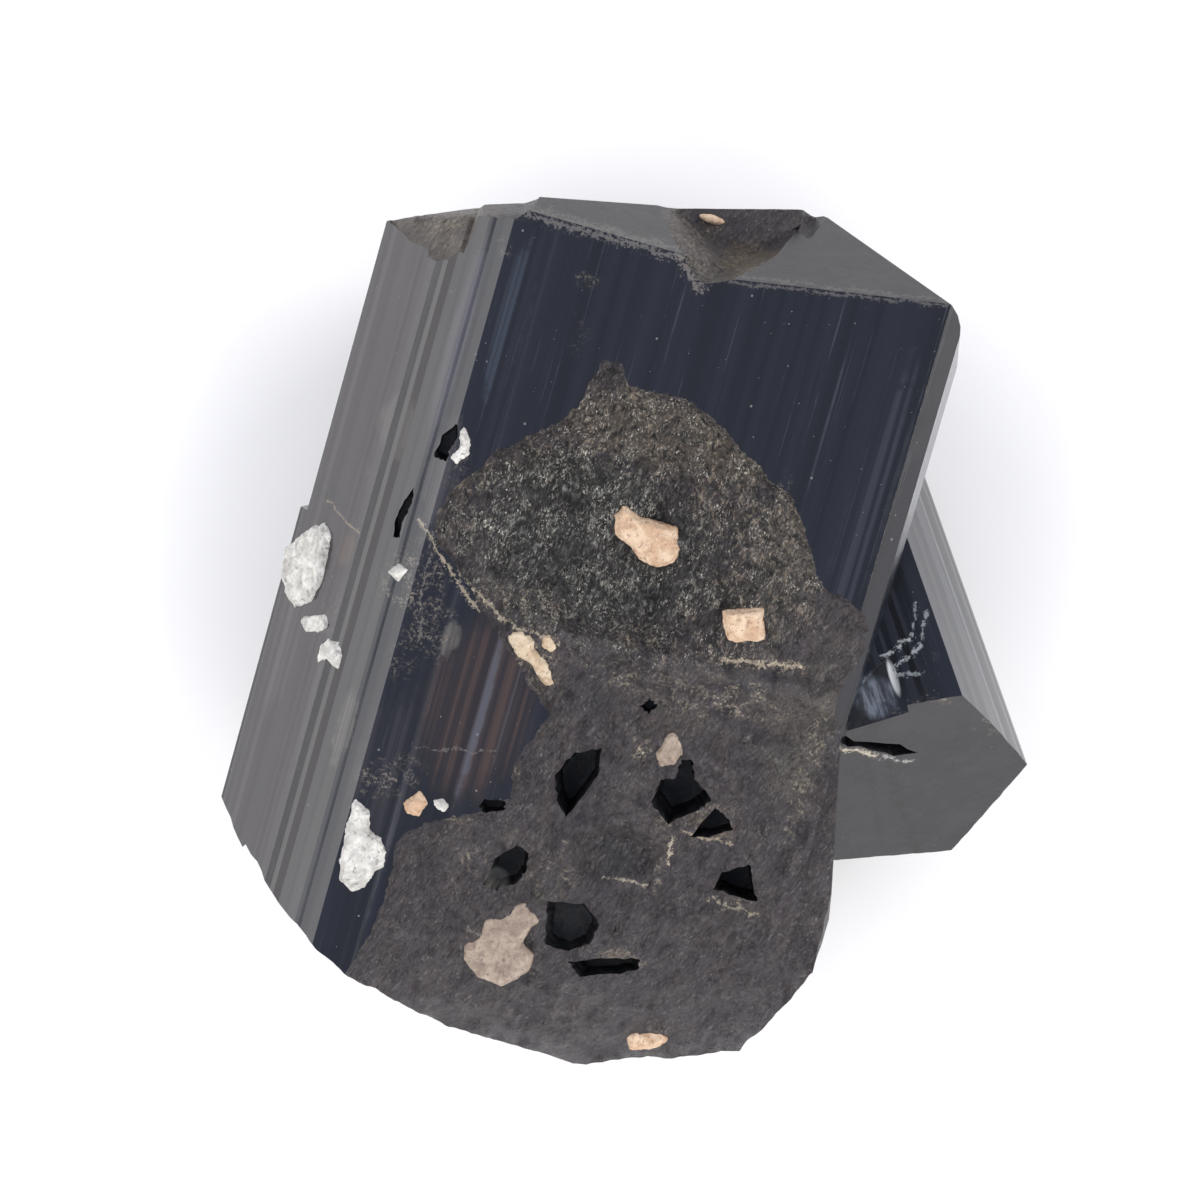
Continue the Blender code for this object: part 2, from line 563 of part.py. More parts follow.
BREAK_OUTLINE = SCAR_RIGHT + BELOW_END + PITTED_LEFT + SCAR_LEFT
for leftover in list(bpy.data.objects):
    bpy.data.objects.remove(leftover)
PARTS = bpy.data.collections.new("tourmaline_crystal")
CUTTERS = bpy.data.collections.new("cutters")
bpy.context.scene.collection.children.link(PARTS)
bpy.context.scene.collection.children.link(CUTTERS)
build()
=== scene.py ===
import json
import math
import random

import bpy
import numpy as np
from mathutils import Matrix, Vector, noise

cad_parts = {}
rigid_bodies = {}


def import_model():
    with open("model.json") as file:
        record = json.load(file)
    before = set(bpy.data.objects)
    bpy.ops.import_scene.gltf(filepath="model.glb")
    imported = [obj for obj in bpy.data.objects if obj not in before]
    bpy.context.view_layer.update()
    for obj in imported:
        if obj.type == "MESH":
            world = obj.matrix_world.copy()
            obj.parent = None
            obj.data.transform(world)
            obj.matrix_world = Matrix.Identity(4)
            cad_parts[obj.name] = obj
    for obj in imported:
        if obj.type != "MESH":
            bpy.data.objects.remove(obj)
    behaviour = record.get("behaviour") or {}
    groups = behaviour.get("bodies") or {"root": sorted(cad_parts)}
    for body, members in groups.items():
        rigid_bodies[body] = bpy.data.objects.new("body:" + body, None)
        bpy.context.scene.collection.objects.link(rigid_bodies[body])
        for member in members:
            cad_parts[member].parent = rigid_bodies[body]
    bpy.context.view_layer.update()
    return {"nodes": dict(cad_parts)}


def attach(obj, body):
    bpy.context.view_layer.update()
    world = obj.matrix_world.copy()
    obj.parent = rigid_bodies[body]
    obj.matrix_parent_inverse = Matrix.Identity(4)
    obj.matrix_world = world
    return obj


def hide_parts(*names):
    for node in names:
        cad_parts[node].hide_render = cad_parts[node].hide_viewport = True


bl_info = {
    "name": "Tourmaline Crystal Group",
    "version": (1, 0, 0),
    "blender": (4, 5, 0),
    "location": "3D View > Sidebar > Tourmaline",
    "description": "Two black tourmaline crystals grown together, with feldspar and mica grains",
    "category": "Object",
}

for leftover in list(bpy.data.objects):
    bpy.data.objects.remove(leftover)
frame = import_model()

MM = 0.001
SEED = 7

# Main crystal's own frame, in mm: u across its front face, a along it, w out of the front face.
LEAN, PITCH = math.radians(15.9), math.radians(8.0)
AXIS = Vector((math.sin(LEAN) * math.cos(PITCH), math.cos(LEAN) * math.cos(PITCH), math.sin(PITCH)))
OUT = Vector((-math.sin(LEAN) * math.sin(PITCH), -math.cos(LEAN) * math.sin(PITCH), math.cos(PITCH)))
ACROSS = AXIS.cross(OUT)
CENTRE_SHIFT = Vector((-2.1, 4.08, 0.0))
FRONT = Vector((1.93, 0.0, 34.0)) + CENTRE_SHIFT
TO_CRYSTAL = Matrix((ACROSS, AXIS, OUT))

# Prism section (u, w), front face first.
SECTION = [(-17.4, 0), (19.5, 0), (21, -1), (22.3, -14), (20, -26), (12, -42), (-20, -42),
           (-22, -34), (-27.5, -22), (-29.1, -12.5), (-22.9, -2.7), (-21.2, -1.15), (-19.4, -0.42)]
LEFT_CORNER, LEFT_EDGE = SECTION[9], SECTION[10]
LENGTH_SPAN = (-60.0, 48.0)
# Growth strips: least width, greatest width and relief; the tables give them by the side's number.
FINE_STRIPS = (0.35, 1.5, 0.055)
STEPPED_STRIPS = (0.3, 0.9, 0.06)
HIDDEN_STRIPS = (0.8, 2.6, 0.14)
STRIPS = dict.fromkeys((0, 1, 2, 9), FINE_STRIPS) | dict.fromkeys((10, 11, 12), STEPPED_STRIPS)
SIDE_STRIPS = dict.fromkeys(range(8), (0.35, 1.4, 0.09))

# Top faces as a = c + ku*u + kw*w.
R1_FACE = (28.2, 0.165, -0.50)
R2_FACE = (41.4, -0.513, 0.209)
R3_FACE = (36.0, 0.30, 0.27)
LEFT_CAP = (29.3, 0.0, -0.45)
CAP_EDGE = ((-0.8, 27.5), (-6.2, 32.4))
R1_EDGE = ((0.1, 28.3), (6.3, 34.4))
HOLLOW_OUTLINE = [(-0.9, 27.2), (0.3, 28.1), (6.5, 34.25), (14.0, 41.6), (14.0, 44.0), (-13.0, 44.0),
                  (-13.0, 38.35), (-6.35, 32.3)]
CHIP_OUTLINE = [(-31.0, 26.4), (-27.6, 24.2), (-25.1, 22.8), (-21.6, 22.9), (-20.6, 23.7),
                (-20.4, 26.2), (-20.2, 27.4), (-17.1, 28.5), (-17.1, 40.0), (-31.0, 40.0)]
# Rounded top right corner: its tip, the side face's normal there (across, out) and the rounding's radius.
CORNER_TIP, CORNER_SIDE, CORNER_RADIUS = (21.0, 30.4, -1.0), (0.995, 0.0995), 2.6
CORNER_SHARES = (0.2, 0.5, 0.8)             # the rounding's three facets, from the side face to the top face

# Lower end: lines seen from above and the height they hold at, undercut toward the table.
LOWER_END = [((-33.8, -19.9), (-21.0, -31.3), 18.0), ((-21.3, -31.5), (-11.0, -42.6), 20.0),
             ((-10.6, -42.8), (12.8, -40.7), 14.0), ((12.8, -40.7), (17.7, -32.8), 14.0),
             ((17.7, -32.8), (20.6, -23.0), 14.0)]
UNDERCUT = 0.16
WORN_CORNER = (Vector((-9.8, -39.0, 20.0)), Vector((-0.38, -0.925, -0.10)))     # place and normal
LEFT_STEP = (-28.4, -1.6)
BRIDGE = ((15.0, 25.8), (-26.0, -6.0), (-42.0, -8.0))
BRIDGE_SIDE = (Vector((20.4, -17.0, 24.0)) + CENTRE_SHIFT, Vector((1.0, -0.05, 0.0)))


def pitched(turn, pitch):
    """Unit vector that points to -Y before it is turned about Z and tilted up."""
    return Vector((math.sin(turn) * math.cos(pitch), -math.cos(turn) * math.cos(pitch), math.sin(pitch)))


# Side crystal: its own frame is SIDE_ACROSS, SIDE_ALONG and SIDE_OUT.
SIDE_TURN, SIDE_PITCH, SIDE_END_PITCH = math.radians(17.0), math.radians(30.0), math.radians(42.0)
SIDE_END = Vector((26.41, -15.48, 19.0)) + CENTRE_SHIFT
SIDE_LENGTH = 46.0
SIDE_ALONG = pitched(SIDE_TURN, SIDE_PITCH)
SIDE_ACROSS = Vector((math.cos(SIDE_TURN), math.sin(SIDE_TURN), 0.0))
SIDE_OUT = SIDE_ALONG.cross(SIDE_ACROSS)
SIDE_END_NORMAL = pitched(SIDE_TURN, SIDE_END_PITCH)
SIDE_SECTION = [(-9.0, 9.7), (-1.4, 9.6), (6.7, 8.1), (8.6, 3.6), (11.0, -3.4), (2.8, -11.8),
                (-7.7, -8.2), (-12.0, -2.0)]
# Crack in the side crystal's end face (u, a), and how deep it goes.
END_CRACK = [(20.4, -7.0), (21.6, -7.15), (22.6, -7.6), (24.0, -7.35), (25.4, -7.2), (26.6, -7.0),
             (27.4, -7.35), (28.4, -7.5), (27.2, -7.95), (26.4, -8.3), (25.6, -8.1), (24.4, -8.15),
             (23.2, -7.95), (22.2, -8.25), (21.4, -7.85), (20.5, -8.0)]
CRACK_DEPTH = 2.5
# Broken notch at the top of the end face, in the side crystal's own frame (across, along), and its drop.
NOTCH = [(-3.6, -3.7), (-1.3, -5.1), (0.6, -6.3), (1.7, -7.0), (1.9, -4.4), (1.8, 2.0), (-4.2, 2.0)]
NOTCH_TOP, NOTCH_DROP = 9.15, 1.7

# Broken front: outline (u, a) from the scar's top clockwise, running past the crystal's sides.
BREAK_OUTLINE = [
    (-7.0, 19.2), (-5.5, 19.3), (-4.5, 17.6), (-1.8, 17.7), (0.8, 17.8), (3.8, 16.4), (6.4, 14.8),
    (9.0, 13.3), (11.5, 12.1), (13.5, 9.2), (14.7, 7.3), (16.5, 5.6), (19.6, 4.6), (27.0, 3.6),
    (30.0, 0.0), (30.0, -56.0), (-15.0, -56.0),
    (-14.1, -37.4), (-12.8, -33.2), (-12.6, -30.0), (-12.7, -24.6), (-9.8, -22.4), (-7.0, -20.9),
    (-4.4, -19.0), (-5.0, -16.1), (-3.3, -11.1), (-7.4, -7.4), (-11.4, -4.0), (-13.2, -2.0),
    (-16.1, 0.2), (-17.0, 2.2), (-16.5, 4.9), (-15.2, 6.6), (-13.4, 9.4), (-10.2, 12.0),
    (-8.2, 14.3), (-7.6, 16.7)]
BREAK_STEP = 0.4                             # drop from the face to the break at its rim
SCAR_MIDDLE, SCAR_RADII, SCAR_DEPTH = (-1.0, 6.5), (14.0, 11.0), 2.4
# Cutting surfaces: spans in u and a, and the grid's spacing.
BREAK_GRID = (((-18.0, 27.0), (-46.5, 20.5)), 0.34)
HOLLOW_GRID = (((-13.5, 14.5), (26.0, 44.5)), 0.4)
CHIP_GRID = (((-31.5, -16.0), (22.0, 40.5)), 0.4)
LID = 14.0                                   # top of the cutting solids above the face
CLEAR_OF_FACE = 3.0                          # their height above the crystal where they leave it alone
END_MARGIN, END_TALL, END_SPACING, END_LID = 14.0, (-24.0, 24.0), 0.9, 7.0
END_FIRST_CUT = 1.6                          # the lower end is first sliced off this far outside its faces
# Roughness: height, frequency across and along, noise seed of each layer.
RIM_LAYERS = ((0.42, 0.7, 0.6, 41), (0.30, 2.1, 1.8, 43))
BREAK_LAYERS = ((0.75, 0.21, 0.16, 3), (0.50, 0.62, 0.45, 9), (0.34, 1.3, 0.8, 13), (0.20, 2.6, 1.2, 17))
CRUMBLE_LAYERS = ((0.30, 2.2, 2.0, 19),)
CHIP_LAYERS = ((0.45, 0.7, 0.7, 21), (0.2, 1.9, 1.9, 23))
HOLLOW_LAYERS = ((0.5, 0.8, 0.8, 31), (0.16, 2.2, 2.2, 33))
END_LAYERS = ((0.55, 0.13, 0.13, 60), (0.28, 0.45, 0.45, 61), (0.14, 1.1, 1.1, 62))
END_SEED_STEP = 5

# Pits: depth below the surface, outline (u, a) and, off the broken front, the surface's level.
PITS = [
    (3.4, [(-1.5, -16.4), (-0.4, -14.0), (1.8, -13.0), (2.1, -15.4), (1.2, -18.0), (0.4, -19.8),
           (-0.8, -18.5)]),
    (4.0, [(8.5, -12.1), (9.4, -11.9), (10.1, -13.6), (12.1, -15.0), (11.3, -16.3), (9.0, -18.3),
           (7.0, -16.6), (7.3, -14.4), (8.5, -13.9)]),
    (2.2, [(11.1, -18.8), (12.4, -15.6), (13.4, -16.0), (14.6, -17.1), (12.9, -18.2)]),
    (3.4, [(14.3, -22.9), (14.6, -21.1), (16.7, -19.8), (17.4, -21.3), (18.4, -23.0), (16.6, -23.2)]),
    (2.6, [(-4.5, -24.9), (-2.9, -23.2), (-1.8, -23.7), (-1.5, -25.2), (-2.0, -26.6), (-3.6, -27.9),
           (-4.9, -27.6)]),
    (2.4, [(1.3, -29.6), (0.9, -27.4), (4.1, -27.0), (5.8, -28.5), (5.5, -30.5), (3.9, -31.9),
           (1.7, -31.5)]),
    (2.6, [(4.0, -32.7), (6.6, -31.6), (10.0, -30.8), (10.3, -31.8), (8.7, -32.7), (5.4, -33.8)]),
    (0.9, [(3.9, -8.6), (4.5, -7.7), (5.3, -8.2), (4.7, -9.1)]),
    (1.1, [(-18.6, 7.3), (-18.4, 9.2), (-17.5, 10.5), (-17.1, 9.6), (-17.4, 8.2), (-17.5, 7.1)], -0.1),
    (0.8, [(-20.1, -0.4), (-20.3, 1.2), (-20.0, 3.0), (-19.5, 4.3), (-19.3, 3.0), (-19.6, 1.4),
           (-19.5, -0.2)], -0.6),
    (1.6, [(-7.0, -20.4), (-6.6, -19.6), (-4.9, -19.3), (-4.7, -20.3), (-6.3, -20.9)]),
]
SHALLOW_PIT = (0.9, [(1.2, -21.2), (3.3, -19.4), (7.6, -19.5), (9.4, -20.6), (8.9, -23.4), (4.8, -25.0),
                     (2.4, -24.0)])
EDGE_WEAR, SIDE_EDGE_WEAR = 0.22, 0.18       # width of the worn edges
WORN_ANGLE = math.radians(27.0)              # edges sharper than this are worn
SMOOTH_ANGLE = math.radians(38.0)            # broken surfaces are smooth across edges flatter than this


def at(u, a, w):
    """A point of the main crystal's frame, in metres."""
    return (FRONT + ACROSS * u + AXIS * a + OUT * w) * MM


def deselect():
    """Leaves edit mode with nothing selected."""
    if bpy.context.object and bpy.context.object.mode != "OBJECT":
        bpy.ops.object.mode_set(mode="OBJECT")
    bpy.ops.object.select_all(action="DESELECT")


def pick(thing):
    """Makes the object the only one selected, and active."""
    deselect()
    thing.select_set(True)
    bpy.context.view_layer.objects.active = thing


def edit(thing, everything=True):
    """Opens the object for editing, with all of it selected or nothing."""
    pick(thing)
    bpy.ops.object.mode_set(mode="EDIT")
    bpy.ops.mesh.select_all(action="SELECT" if everything else "DESELECT")


def close():
    """Leaves edit mode."""
    bpy.ops.object.mode_set(mode="OBJECT")


def modify(thing, kind, **settings):
    """Adds a modifier with settings and applies it."""
    pick(thing)
    step = thing.modifiers.new(kind.lower(), kind)
    for name, value in settings.items():
        setattr(step, name, value)
    bpy.ops.object.modifier_apply(modifier=step.name)


def face_normal(face):
    """Outward normal of a top face given as a = c + ku*u + kw*w."""
    return (AXIS - ACROSS * face[1] - OUT * face[2]).normalized()


def outline_distance(points, outline):
    """Signed distances in mm from many (u, a) points to an outline, positive inside it."""
    x, y = points[:, 0], points[:, 1]
    best = np.full(len(points), 1e9)
    hit = np.zeros(len(points), bool)
    for (x0, y0), (x1, y1) in zip(outline, outline[1:] + outline[:1]):
        dx, dy = x1 - x0, y1 - y0
        step = np.clip(((x - x0) * dx + (y - y0) * dy) / (dx * dx + dy * dy), 0, 1)
        best = np.minimum(best, np.hypot(x - x0 - dx * step, y - y0 - dy * step))
        if y0 != y1:
            crossing = (y0 > y) != (y1 > y)
            hit ^= crossing & (x < dx * (y - y0) / dy + x0)
    return np.where(hit, best, -best)


def striated(corners, rng, strips):
    """The section's outline with every side broken into growth strips at slightly different heights."""
    points = []
    for index, (start, end) in enumerate(zip(corners, corners[1:] + corners[:1])):
        narrow, wide, relief = strips.get(index, HIDDEN_STRIPS)
        start, end = Vector(start), Vector(end)
        side = end - start
        inward = Vector((side.y, -side.x)).normalized()
        length, along = side.length, 0.0
        points.append(tuple(start))
        while length - along > wide + narrow:
            along += narrow + (wide - narrow) * rng.random() ** 2
            drop = relief * rng.random()
            points.append(tuple(start + side * (along / length) + inward * drop))
    return points


def drawn_solid(name, points, travel, material):
    """A closed solid: an outline's face drawn out along a vector."""
    deselect()
    bpy.ops.mesh.primitive_circle_add(vertices=len(points), radius=MM, fill_type="NGON")
    solid = bpy.context.object
    solid.name = name
    for corner, point in zip(solid.data.vertices, points):
        corner.co = point
    edit(solid)
    bpy.ops.mesh.extrude_region_move(TRANSFORM_OT_translate={"value": travel})
    bpy.ops.mesh.select_all(action="SELECT")
    bpy.ops.mesh.normals_make_consistent(inside=False)
    close()
    solid.data.materials.append(material)
    return solid


def slice_off(solid, point, normal):
    """Cuts away what lies beyond a plane and closes the cut."""
    edit(solid)
    bpy.ops.mesh.bisect(plane_co=point, plane_no=normal, use_fill=True, clear_outer=True,
                        threshold=1e-7)
    close()


def apply_cutters(body, cutters, operation="DIFFERENCE"):
    """Applies a Boolean with one or more solids, which are then removed."""
    group = bpy.data.collections.new("cutting")
    bpy.context.scene.collection.children.link(group)
    for cutter in cutters:
        group.objects.link(cutter)
    pick(body)
    step = body.modifiers.new("cut", "BOOLEAN")
    step.operation, step.solver, step.material_mode = operation, "EXACT", "TRANSFER"
    if len(cutters) == 1:
        step.object = cutters[0]
    else:
        step.operand_type = "COLLECTION"
        step.collection = group
    bpy.ops.object.modifier_apply(modifier=step.name)
    for cutter in cutters:
        bpy.data.objects.remove(cutter)
    bpy.data.collections.remove(group)


def drop_crumbs(body):
    """Deletes anything that the cuts left loose from the main body."""
    edit(body, everything=False)
    close()
    low = min(body.data.vertices, key=lambda corner: corner.co.z)
    low.select = True
    bpy.ops.object.mode_set(mode="EDIT")
    bpy.ops.mesh.select_mode(type="VERT")
    bpy.ops.mesh.select_linked()
    bpy.ops.mesh.select_all(action="INVERT")
    bpy.ops.mesh.delete(type="VERT")
    close()


def wave(spots, across, along, seed):
    """Noise from -1 to 1 at many (x, y) spots, with a frequency for each direction."""
    return np.array([noise.noise(Vector((x * across, y * along, seed))) for x, y in spots])


def layered_noise(spots, layers, shift=0.0):
    """Sum of noise layers, their seeds shifted by a number."""
    return sum(height * wave(spots, across, along, seed + shift) for height, across, along, seed in layers)


def surface_block(name, axes, spans, spacing, level, lid, material):
    """A solid that cuts: its underside is the surface level(spots) on a grid, its top is a flat lid."""
    origin, x_dir, y_dir = axes
    normal = x_dir.cross(y_dir)
    (x0, x1), (y0, y1) = spans
    columns, rows = round((x1 - x0) / spacing), round((y1 - y0) / spacing)
    deselect()
    bpy.ops.mesh.primitive_grid_add(x_subdivisions=columns, y_subdivisions=rows, size=2.0)
    block = bpy.context.object
    block.name = name
    spots = np.empty(len(block.data.vertices) * 3)
    block.data.vertices.foreach_get("co", spots)
    spots = (spots.reshape(-1, 3)[:, :2] + 1.0) / 2.0
    spots = np.stack([x0 + spots[:, 0] * (x1 - x0), y0 + spots[:, 1] * (y1 - y0)], 1)
    heights = level(spots)
    points = (np.array(origin) + spots[:, :1] * np.array(x_dir) + spots[:, 1:] * np.array(y_dir)
              + heights[:, None] * np.array(normal)) * MM
    block.data.vertices.foreach_set("co", points.ravel())
    block.data.update()
    edit(block, everything=False)
    bpy.ops.mesh.select_mode(type="EDGE")
    bpy.ops.mesh.select_non_manifold()
    bpy.ops.mesh.extrude_region_move(TRANSFORM_OT_translate={"value": normal * MM})
    close()
    top = (origin + normal * lid) * MM
    for corner in block.data.vertices:
        if corner.select:
            corner.co = corner.co + normal * (top - corner.co).dot(normal)
    edit(block)
    bpy.ops.mesh.select_mode(type="VERT")
    bpy.ops.mesh.select_all(action="SELECT")
    bpy.ops.mesh.fill_holes(sides=0)
    bpy.ops.mesh.select_all(action="SELECT")
    bpy.ops.mesh.normals_make_consistent(inside=False)
    close()
    block.data.materials.append(material)
    return block


def break_level(spots):
    """The broken front: scar, slope, tail and relief, rising past its outline's rim."""
    u, a = spots[:, 0], spots[:, 1]
    edge = outline_distance(spots, BREAK_OUTLINE)
    rim = edge + layered_noise(spots, RIM_LAYERS)
    dish = SCAR_DEPTH * np.maximum(0, 1 - ((u - SCAR_MIDDLE[0]) / SCAR_RADII[0]) ** 2
                                   - ((a - SCAR_MIDDLE[1]) / SCAR_RADII[1]) ** 2)
    slope = 0.35 * np.maximum(0, -4 - a) * np.clip((u + 15) / 38, 0, 1)
    tail = 0.03 * np.maximum(0, -28 - a) ** 2 * np.clip((u + 14) / 10, 0, 1)
    ridge = 0.8 * np.exp(-((a + 4.4 - 0.04 * u) / 1.3) ** 2) * np.clip((u + 7) / 4, 0, 1)
    basin_depth, basin = SHALLOW_PIT
    basin = basin_depth * np.clip(outline_distance(spots, basin) / 1.2, 0, 1)
    rough = layered_noise(spots, BREAK_LAYERS)
    crumble = layered_noise(spots, CRUMBLE_LAYERS) * np.exp(-((edge - 1.0) / 1.6) ** 2)
    grow = 1 - np.exp(-np.maximum(edge, 0) / 1.6)
    step = BREAK_STEP * np.clip(rim / 0.5, -8, 1)
    depth = step + crumble + (0.45 + dish + slope + tail - ridge + rough) * grow + basin
    return -np.where(rim > 0, np.maximum(depth, 0.14 * np.minimum(rim, 1.0)), depth)


def hollow_level(spots):
    """The hollow between the top faces: floor, smooth back wall and left bank."""
    u, a = spots[:, 0], spots[:, 1]
    edge = outline_distance(spots, HOLLOW_OUTLINE)
    floor = -np.minimum(2.1 * (a - 27.4), 7.5 + 0.4 * (a - 31.0)) - 3.0 * np.clip(u - 5.6, 0, 1.2)
    low, high = (Vector(p) for p in CAP_EDGE)
    run = (high - low).normalized()
    bank = (u - low.x) * run.y - (a - low.y) * run.x
    cap = np.minimum(0, (LEFT_CAP[0] - a) / -LEFT_CAP[2])
    rough = layered_noise(spots, HOLLOW_LAYERS) * np.where(a < 31.2, 1.0, 0.25)
    inner = np.maximum(floor, cap - 0.3 - 1.7 * np.maximum(0, bank)) + rough
    return np.where(edge < 0, np.minimum(inner - 4.0 * edge, CLEAR_OF_FACE), inner)


def chip_level(spots):
    """The chip at the top left corner."""
    u, a = spots[:, 0], spots[:, 1]
    edge = outline_distance(spots, CHIP_OUTLINE)
    face = -1.48 * np.maximum(0, -21.2 - u) - 0.25
    start = np.where(u < -20.4, 23.0 + 0.12 * np.abs(u + 23.0), 27.4 + 0.35 * (u + 20.4))
    crest = 27.4 + np.where(u < -21.0, 0.36, 0.33) * (u + 21.0)
    level = face - 0.85 * np.maximum(0, a - start) - 5.0 * np.maximum(0, a - crest)
    level += layered_noise(spots, CHIP_LAYERS)
    return np.where(edge < 0, np.minimum(level - 4.0 * edge, CLEAR_OF_FACE), level)


def main_prism(material):
    """The large prism with its back top faces and rounded top right corner."""
    rng = random.Random(SEED)
    low, high = LENGTH_SPAN
    outline = [at(u, low, w) for u, w in striated(SECTION, rng, STRIPS)]
    body = drawn_solid("tourmaline_crystals", outline, AXIS * (high - low) * MM, material)
    for face in (R2_FACE, R3_FACE):
        slice_off(body, at(0, face[0], 0), face_normal(face))
    side = (ACROSS * CORNER_SIDE[0] + OUT * CORNER_SIDE[1]).normalized()
    top = face_normal(R2_FACE)
    middle = (side + top).normalized()
    centre = at(*CORNER_TIP) - middle * (CORNER_RADIUS / middle.dot(side)) * MM
    for share in CORNER_SHARES:
        outward = side.slerp(top, share)
        slice_off(body, centre + outward * CORNER_RADIUS * MM, outward)
    return body


def box_block(name, material, size=0.16):
    """A cube to be sliced into a cutter."""
    deselect()
    bpy.ops.mesh.primitive_cube_add(size=size)
    block = bpy.context.object
    block.name = name
    block.data.materials.append(material)
    return block


def top_blocks(material):
    """Cutters that leave the front top face and the left cap."""
    blocks = []
    for name, face, (low, high), side in (("front_top", R1_FACE, R1_EDGE, 1.0),
                                          ("left_cap", LEFT_CAP, CAP_EDGE, -1.0)):
        run = (Vector(high) - Vector(low)).normalized()
        block = box_block(name, material)
        slice_off(block, at(0, face[0], 0), -face_normal(face))
        slice_off(block, at(low[0], low[1], 0), (ACROSS * run.y - AXIS * run.x) * -side)
        blocks.append(block)
    return blocks


def step_block(material):
    """Cutter for the growth step on the left face's upper part."""
    block = box_block("left_step", material)
    slice_off(block, at(LEFT_STEP[0], 0, 0), ACROSS)
    slice_off(block, at(0, LEFT_STEP[1], 0), -AXIS)
    return block


def bridge(material):
    """The rough mass between the crystals."""
    (u0, u1), (w0, w1), (a0, a1) = BRIDGE
    corners = [(u0, w0), (u1 - 4.0, w0), (u1, w0 + 8.0), (u1, w1 - 6.0), (u1 - 1.5, w1 - 1.0), (u0, w1)]
    mass = drawn_solid("bridge", [at(u, a0, w) for u, w in corners], AXIS * (a1 - a0) * MM, material)
    point, outward = BRIDGE_SIDE
    slice_off(mass, point * MM, outward)
    return mass


def lower_planes():
    """Each lower end plane: a point, the direction along it seen from above, and its outward normal."""
    for (x0, y0), (x1, y1), height in LOWER_END:
        outward = (Vector((y1 - y0, x0 - x1, 0)).normalized() - Vector((0, 0, UNDERCUT))).normalized()
        along = Vector((x1 - x0, y1 - y0, 0))
        yield Vector((x0, y0, height)) + CENTRE_SHIFT, along, outward


def lower_end_blocks(material):
    """Cutters that give the lower end its rough broken faces."""
    blocks = []
    for index, (point, along, outward) in enumerate(lower_planes()):
        length = along.length
        x_dir = along.normalized()
        y_dir = outward.cross(x_dir)

        def level(spots, index=index):
            relief = layered_noise(spots, END_LAYERS, END_SEED_STEP * index)
            worn = 1.35 * np.clip(1 - spots[:, 0] / 6.0, 0, 1.3) if index == 0 else 0.0
            return np.minimum(relief - 0.62, -0.05) - worn

        spans = ((-END_MARGIN, length + END_MARGIN), END_TALL)
        blocks.append(surface_block("lower_end_%d" % index, (point, x_dir, y_dir), spans, END_SPACING,
                                    level, END_LID, material))
    return blocks


def side_prism(face_material, end_material):
    """The smaller prism with its end face toward the lower right."""
    rng = random.Random(SEED + 1)
    start = SIDE_END - SIDE_ALONG * SIDE_LENGTH
    outline = striated(SIDE_SECTION[::-1], rng, SIDE_STRIPS)
    points = [(start + SIDE_ACROSS * u + SIDE_OUT * w) * MM for u, w in outline]
    crystal = drawn_solid("side_crystal", points, SIDE_ALONG * (SIDE_LENGTH + 20.0) * MM, face_material)
    slice_off(crystal, SIDE_END * MM, SIDE_END_NORMAL)
    paint_faces(crystal, end_material, SIDE_END_NORMAL, 0.99)
    return crystal


def on_end(u, a, rise=0.0):
    """The point of the side crystal's end face under (u, a), raised along the face's normal, in metres."""
    start = FRONT + ACROSS * u + AXIS * a
    drop = (SIDE_END - start).dot(SIDE_END_NORMAL) / OUT.dot(SIDE_END_NORMAL)
    return (start + OUT * drop + SIDE_END_NORMAL * rise) * MM


def crack_block(material):
    """The open crack in the side crystal's end face."""
    outline = [on_end(u, a, 1.0) for u, a in END_CRACK]
    return drawn_solid("end_crack", outline, SIDE_END_NORMAL * -(CRACK_DEPTH + 1.0) * MM, material)


def notch_block(material):
    """The chip broken out between the side crystal's front face and end face."""
    def place(x, y, z):
        return (SIDE_END + SIDE_ACROSS * x + SIDE_ALONG * y + SIDE_OUT * z) * MM

    block = drawn_solid("notch", [place(x, y, NOTCH_TOP + 3.0) for x, y in NOTCH], SIDE_OUT * -3.1 * MM,
                        material)
    low, high = min(y for _x, y in NOTCH), max(y for _x, y in NOTCH)
    for corner in block.data.vertices:
        spot = corner.co / MM - SIDE_END
        if spot.dot(SIDE_OUT) < NOTCH_TOP + 1.0:
            share = (spot.dot(SIDE_ALONG) - low) / (high - low)
            corner.co = corner.co - SIDE_OUT * NOTCH_DROP * share * MM
    return block


def wear_edges(body, width, material, spared=None):
    """Rounds the sharp outer edges a little, in their own material, but none near a spared outline."""
    mesh = body.data
    mesh.materials.append(material)
    beside = {}
    for face in mesh.polygons:
        for key in face.edge_keys:
            beside.setdefault(key, []).append(face)
    weights = mesh.attributes.new("bevel_weight_edge", "FLOAT", "EDGE")
    for edge in mesh.edges:
        first, second = beside[edge.key]
        ends = [TO_CRYSTAL @ (mesh.vertices[index].co / MM - FRONT) for index in edge.vertices]
        middle = (ends[0] + ends[1]) / 2
        sharp = first.normal.angle(second.normal) > WORN_ANGLE
        outer = (second.center - first.center).dot(first.normal) < 0
        if spared and outline_distance(np.array([middle[:2]]), spared)[0] > -0.3:
            sharp = False
        weights.data[edge.index].value = 1.0 if sharp and outer else 0.0
    modify(body, "BEVEL", width=width * MM, segments=2, limit_method="WEIGHT",
           material=len(mesh.materials) - 1)


def paint_faces(thing, material, direction, closeness):
    """Gives a material to the faces that point a way."""
    if material.name not in [slot.name for slot in thing.data.materials]:
        thing.data.materials.append(material)
    index = [slot.name for slot in thing.data.materials].index(material.name)
    for face in thing.data.polygons:
        if face.normal.dot(direction) > closeness:
            face.material_index = index


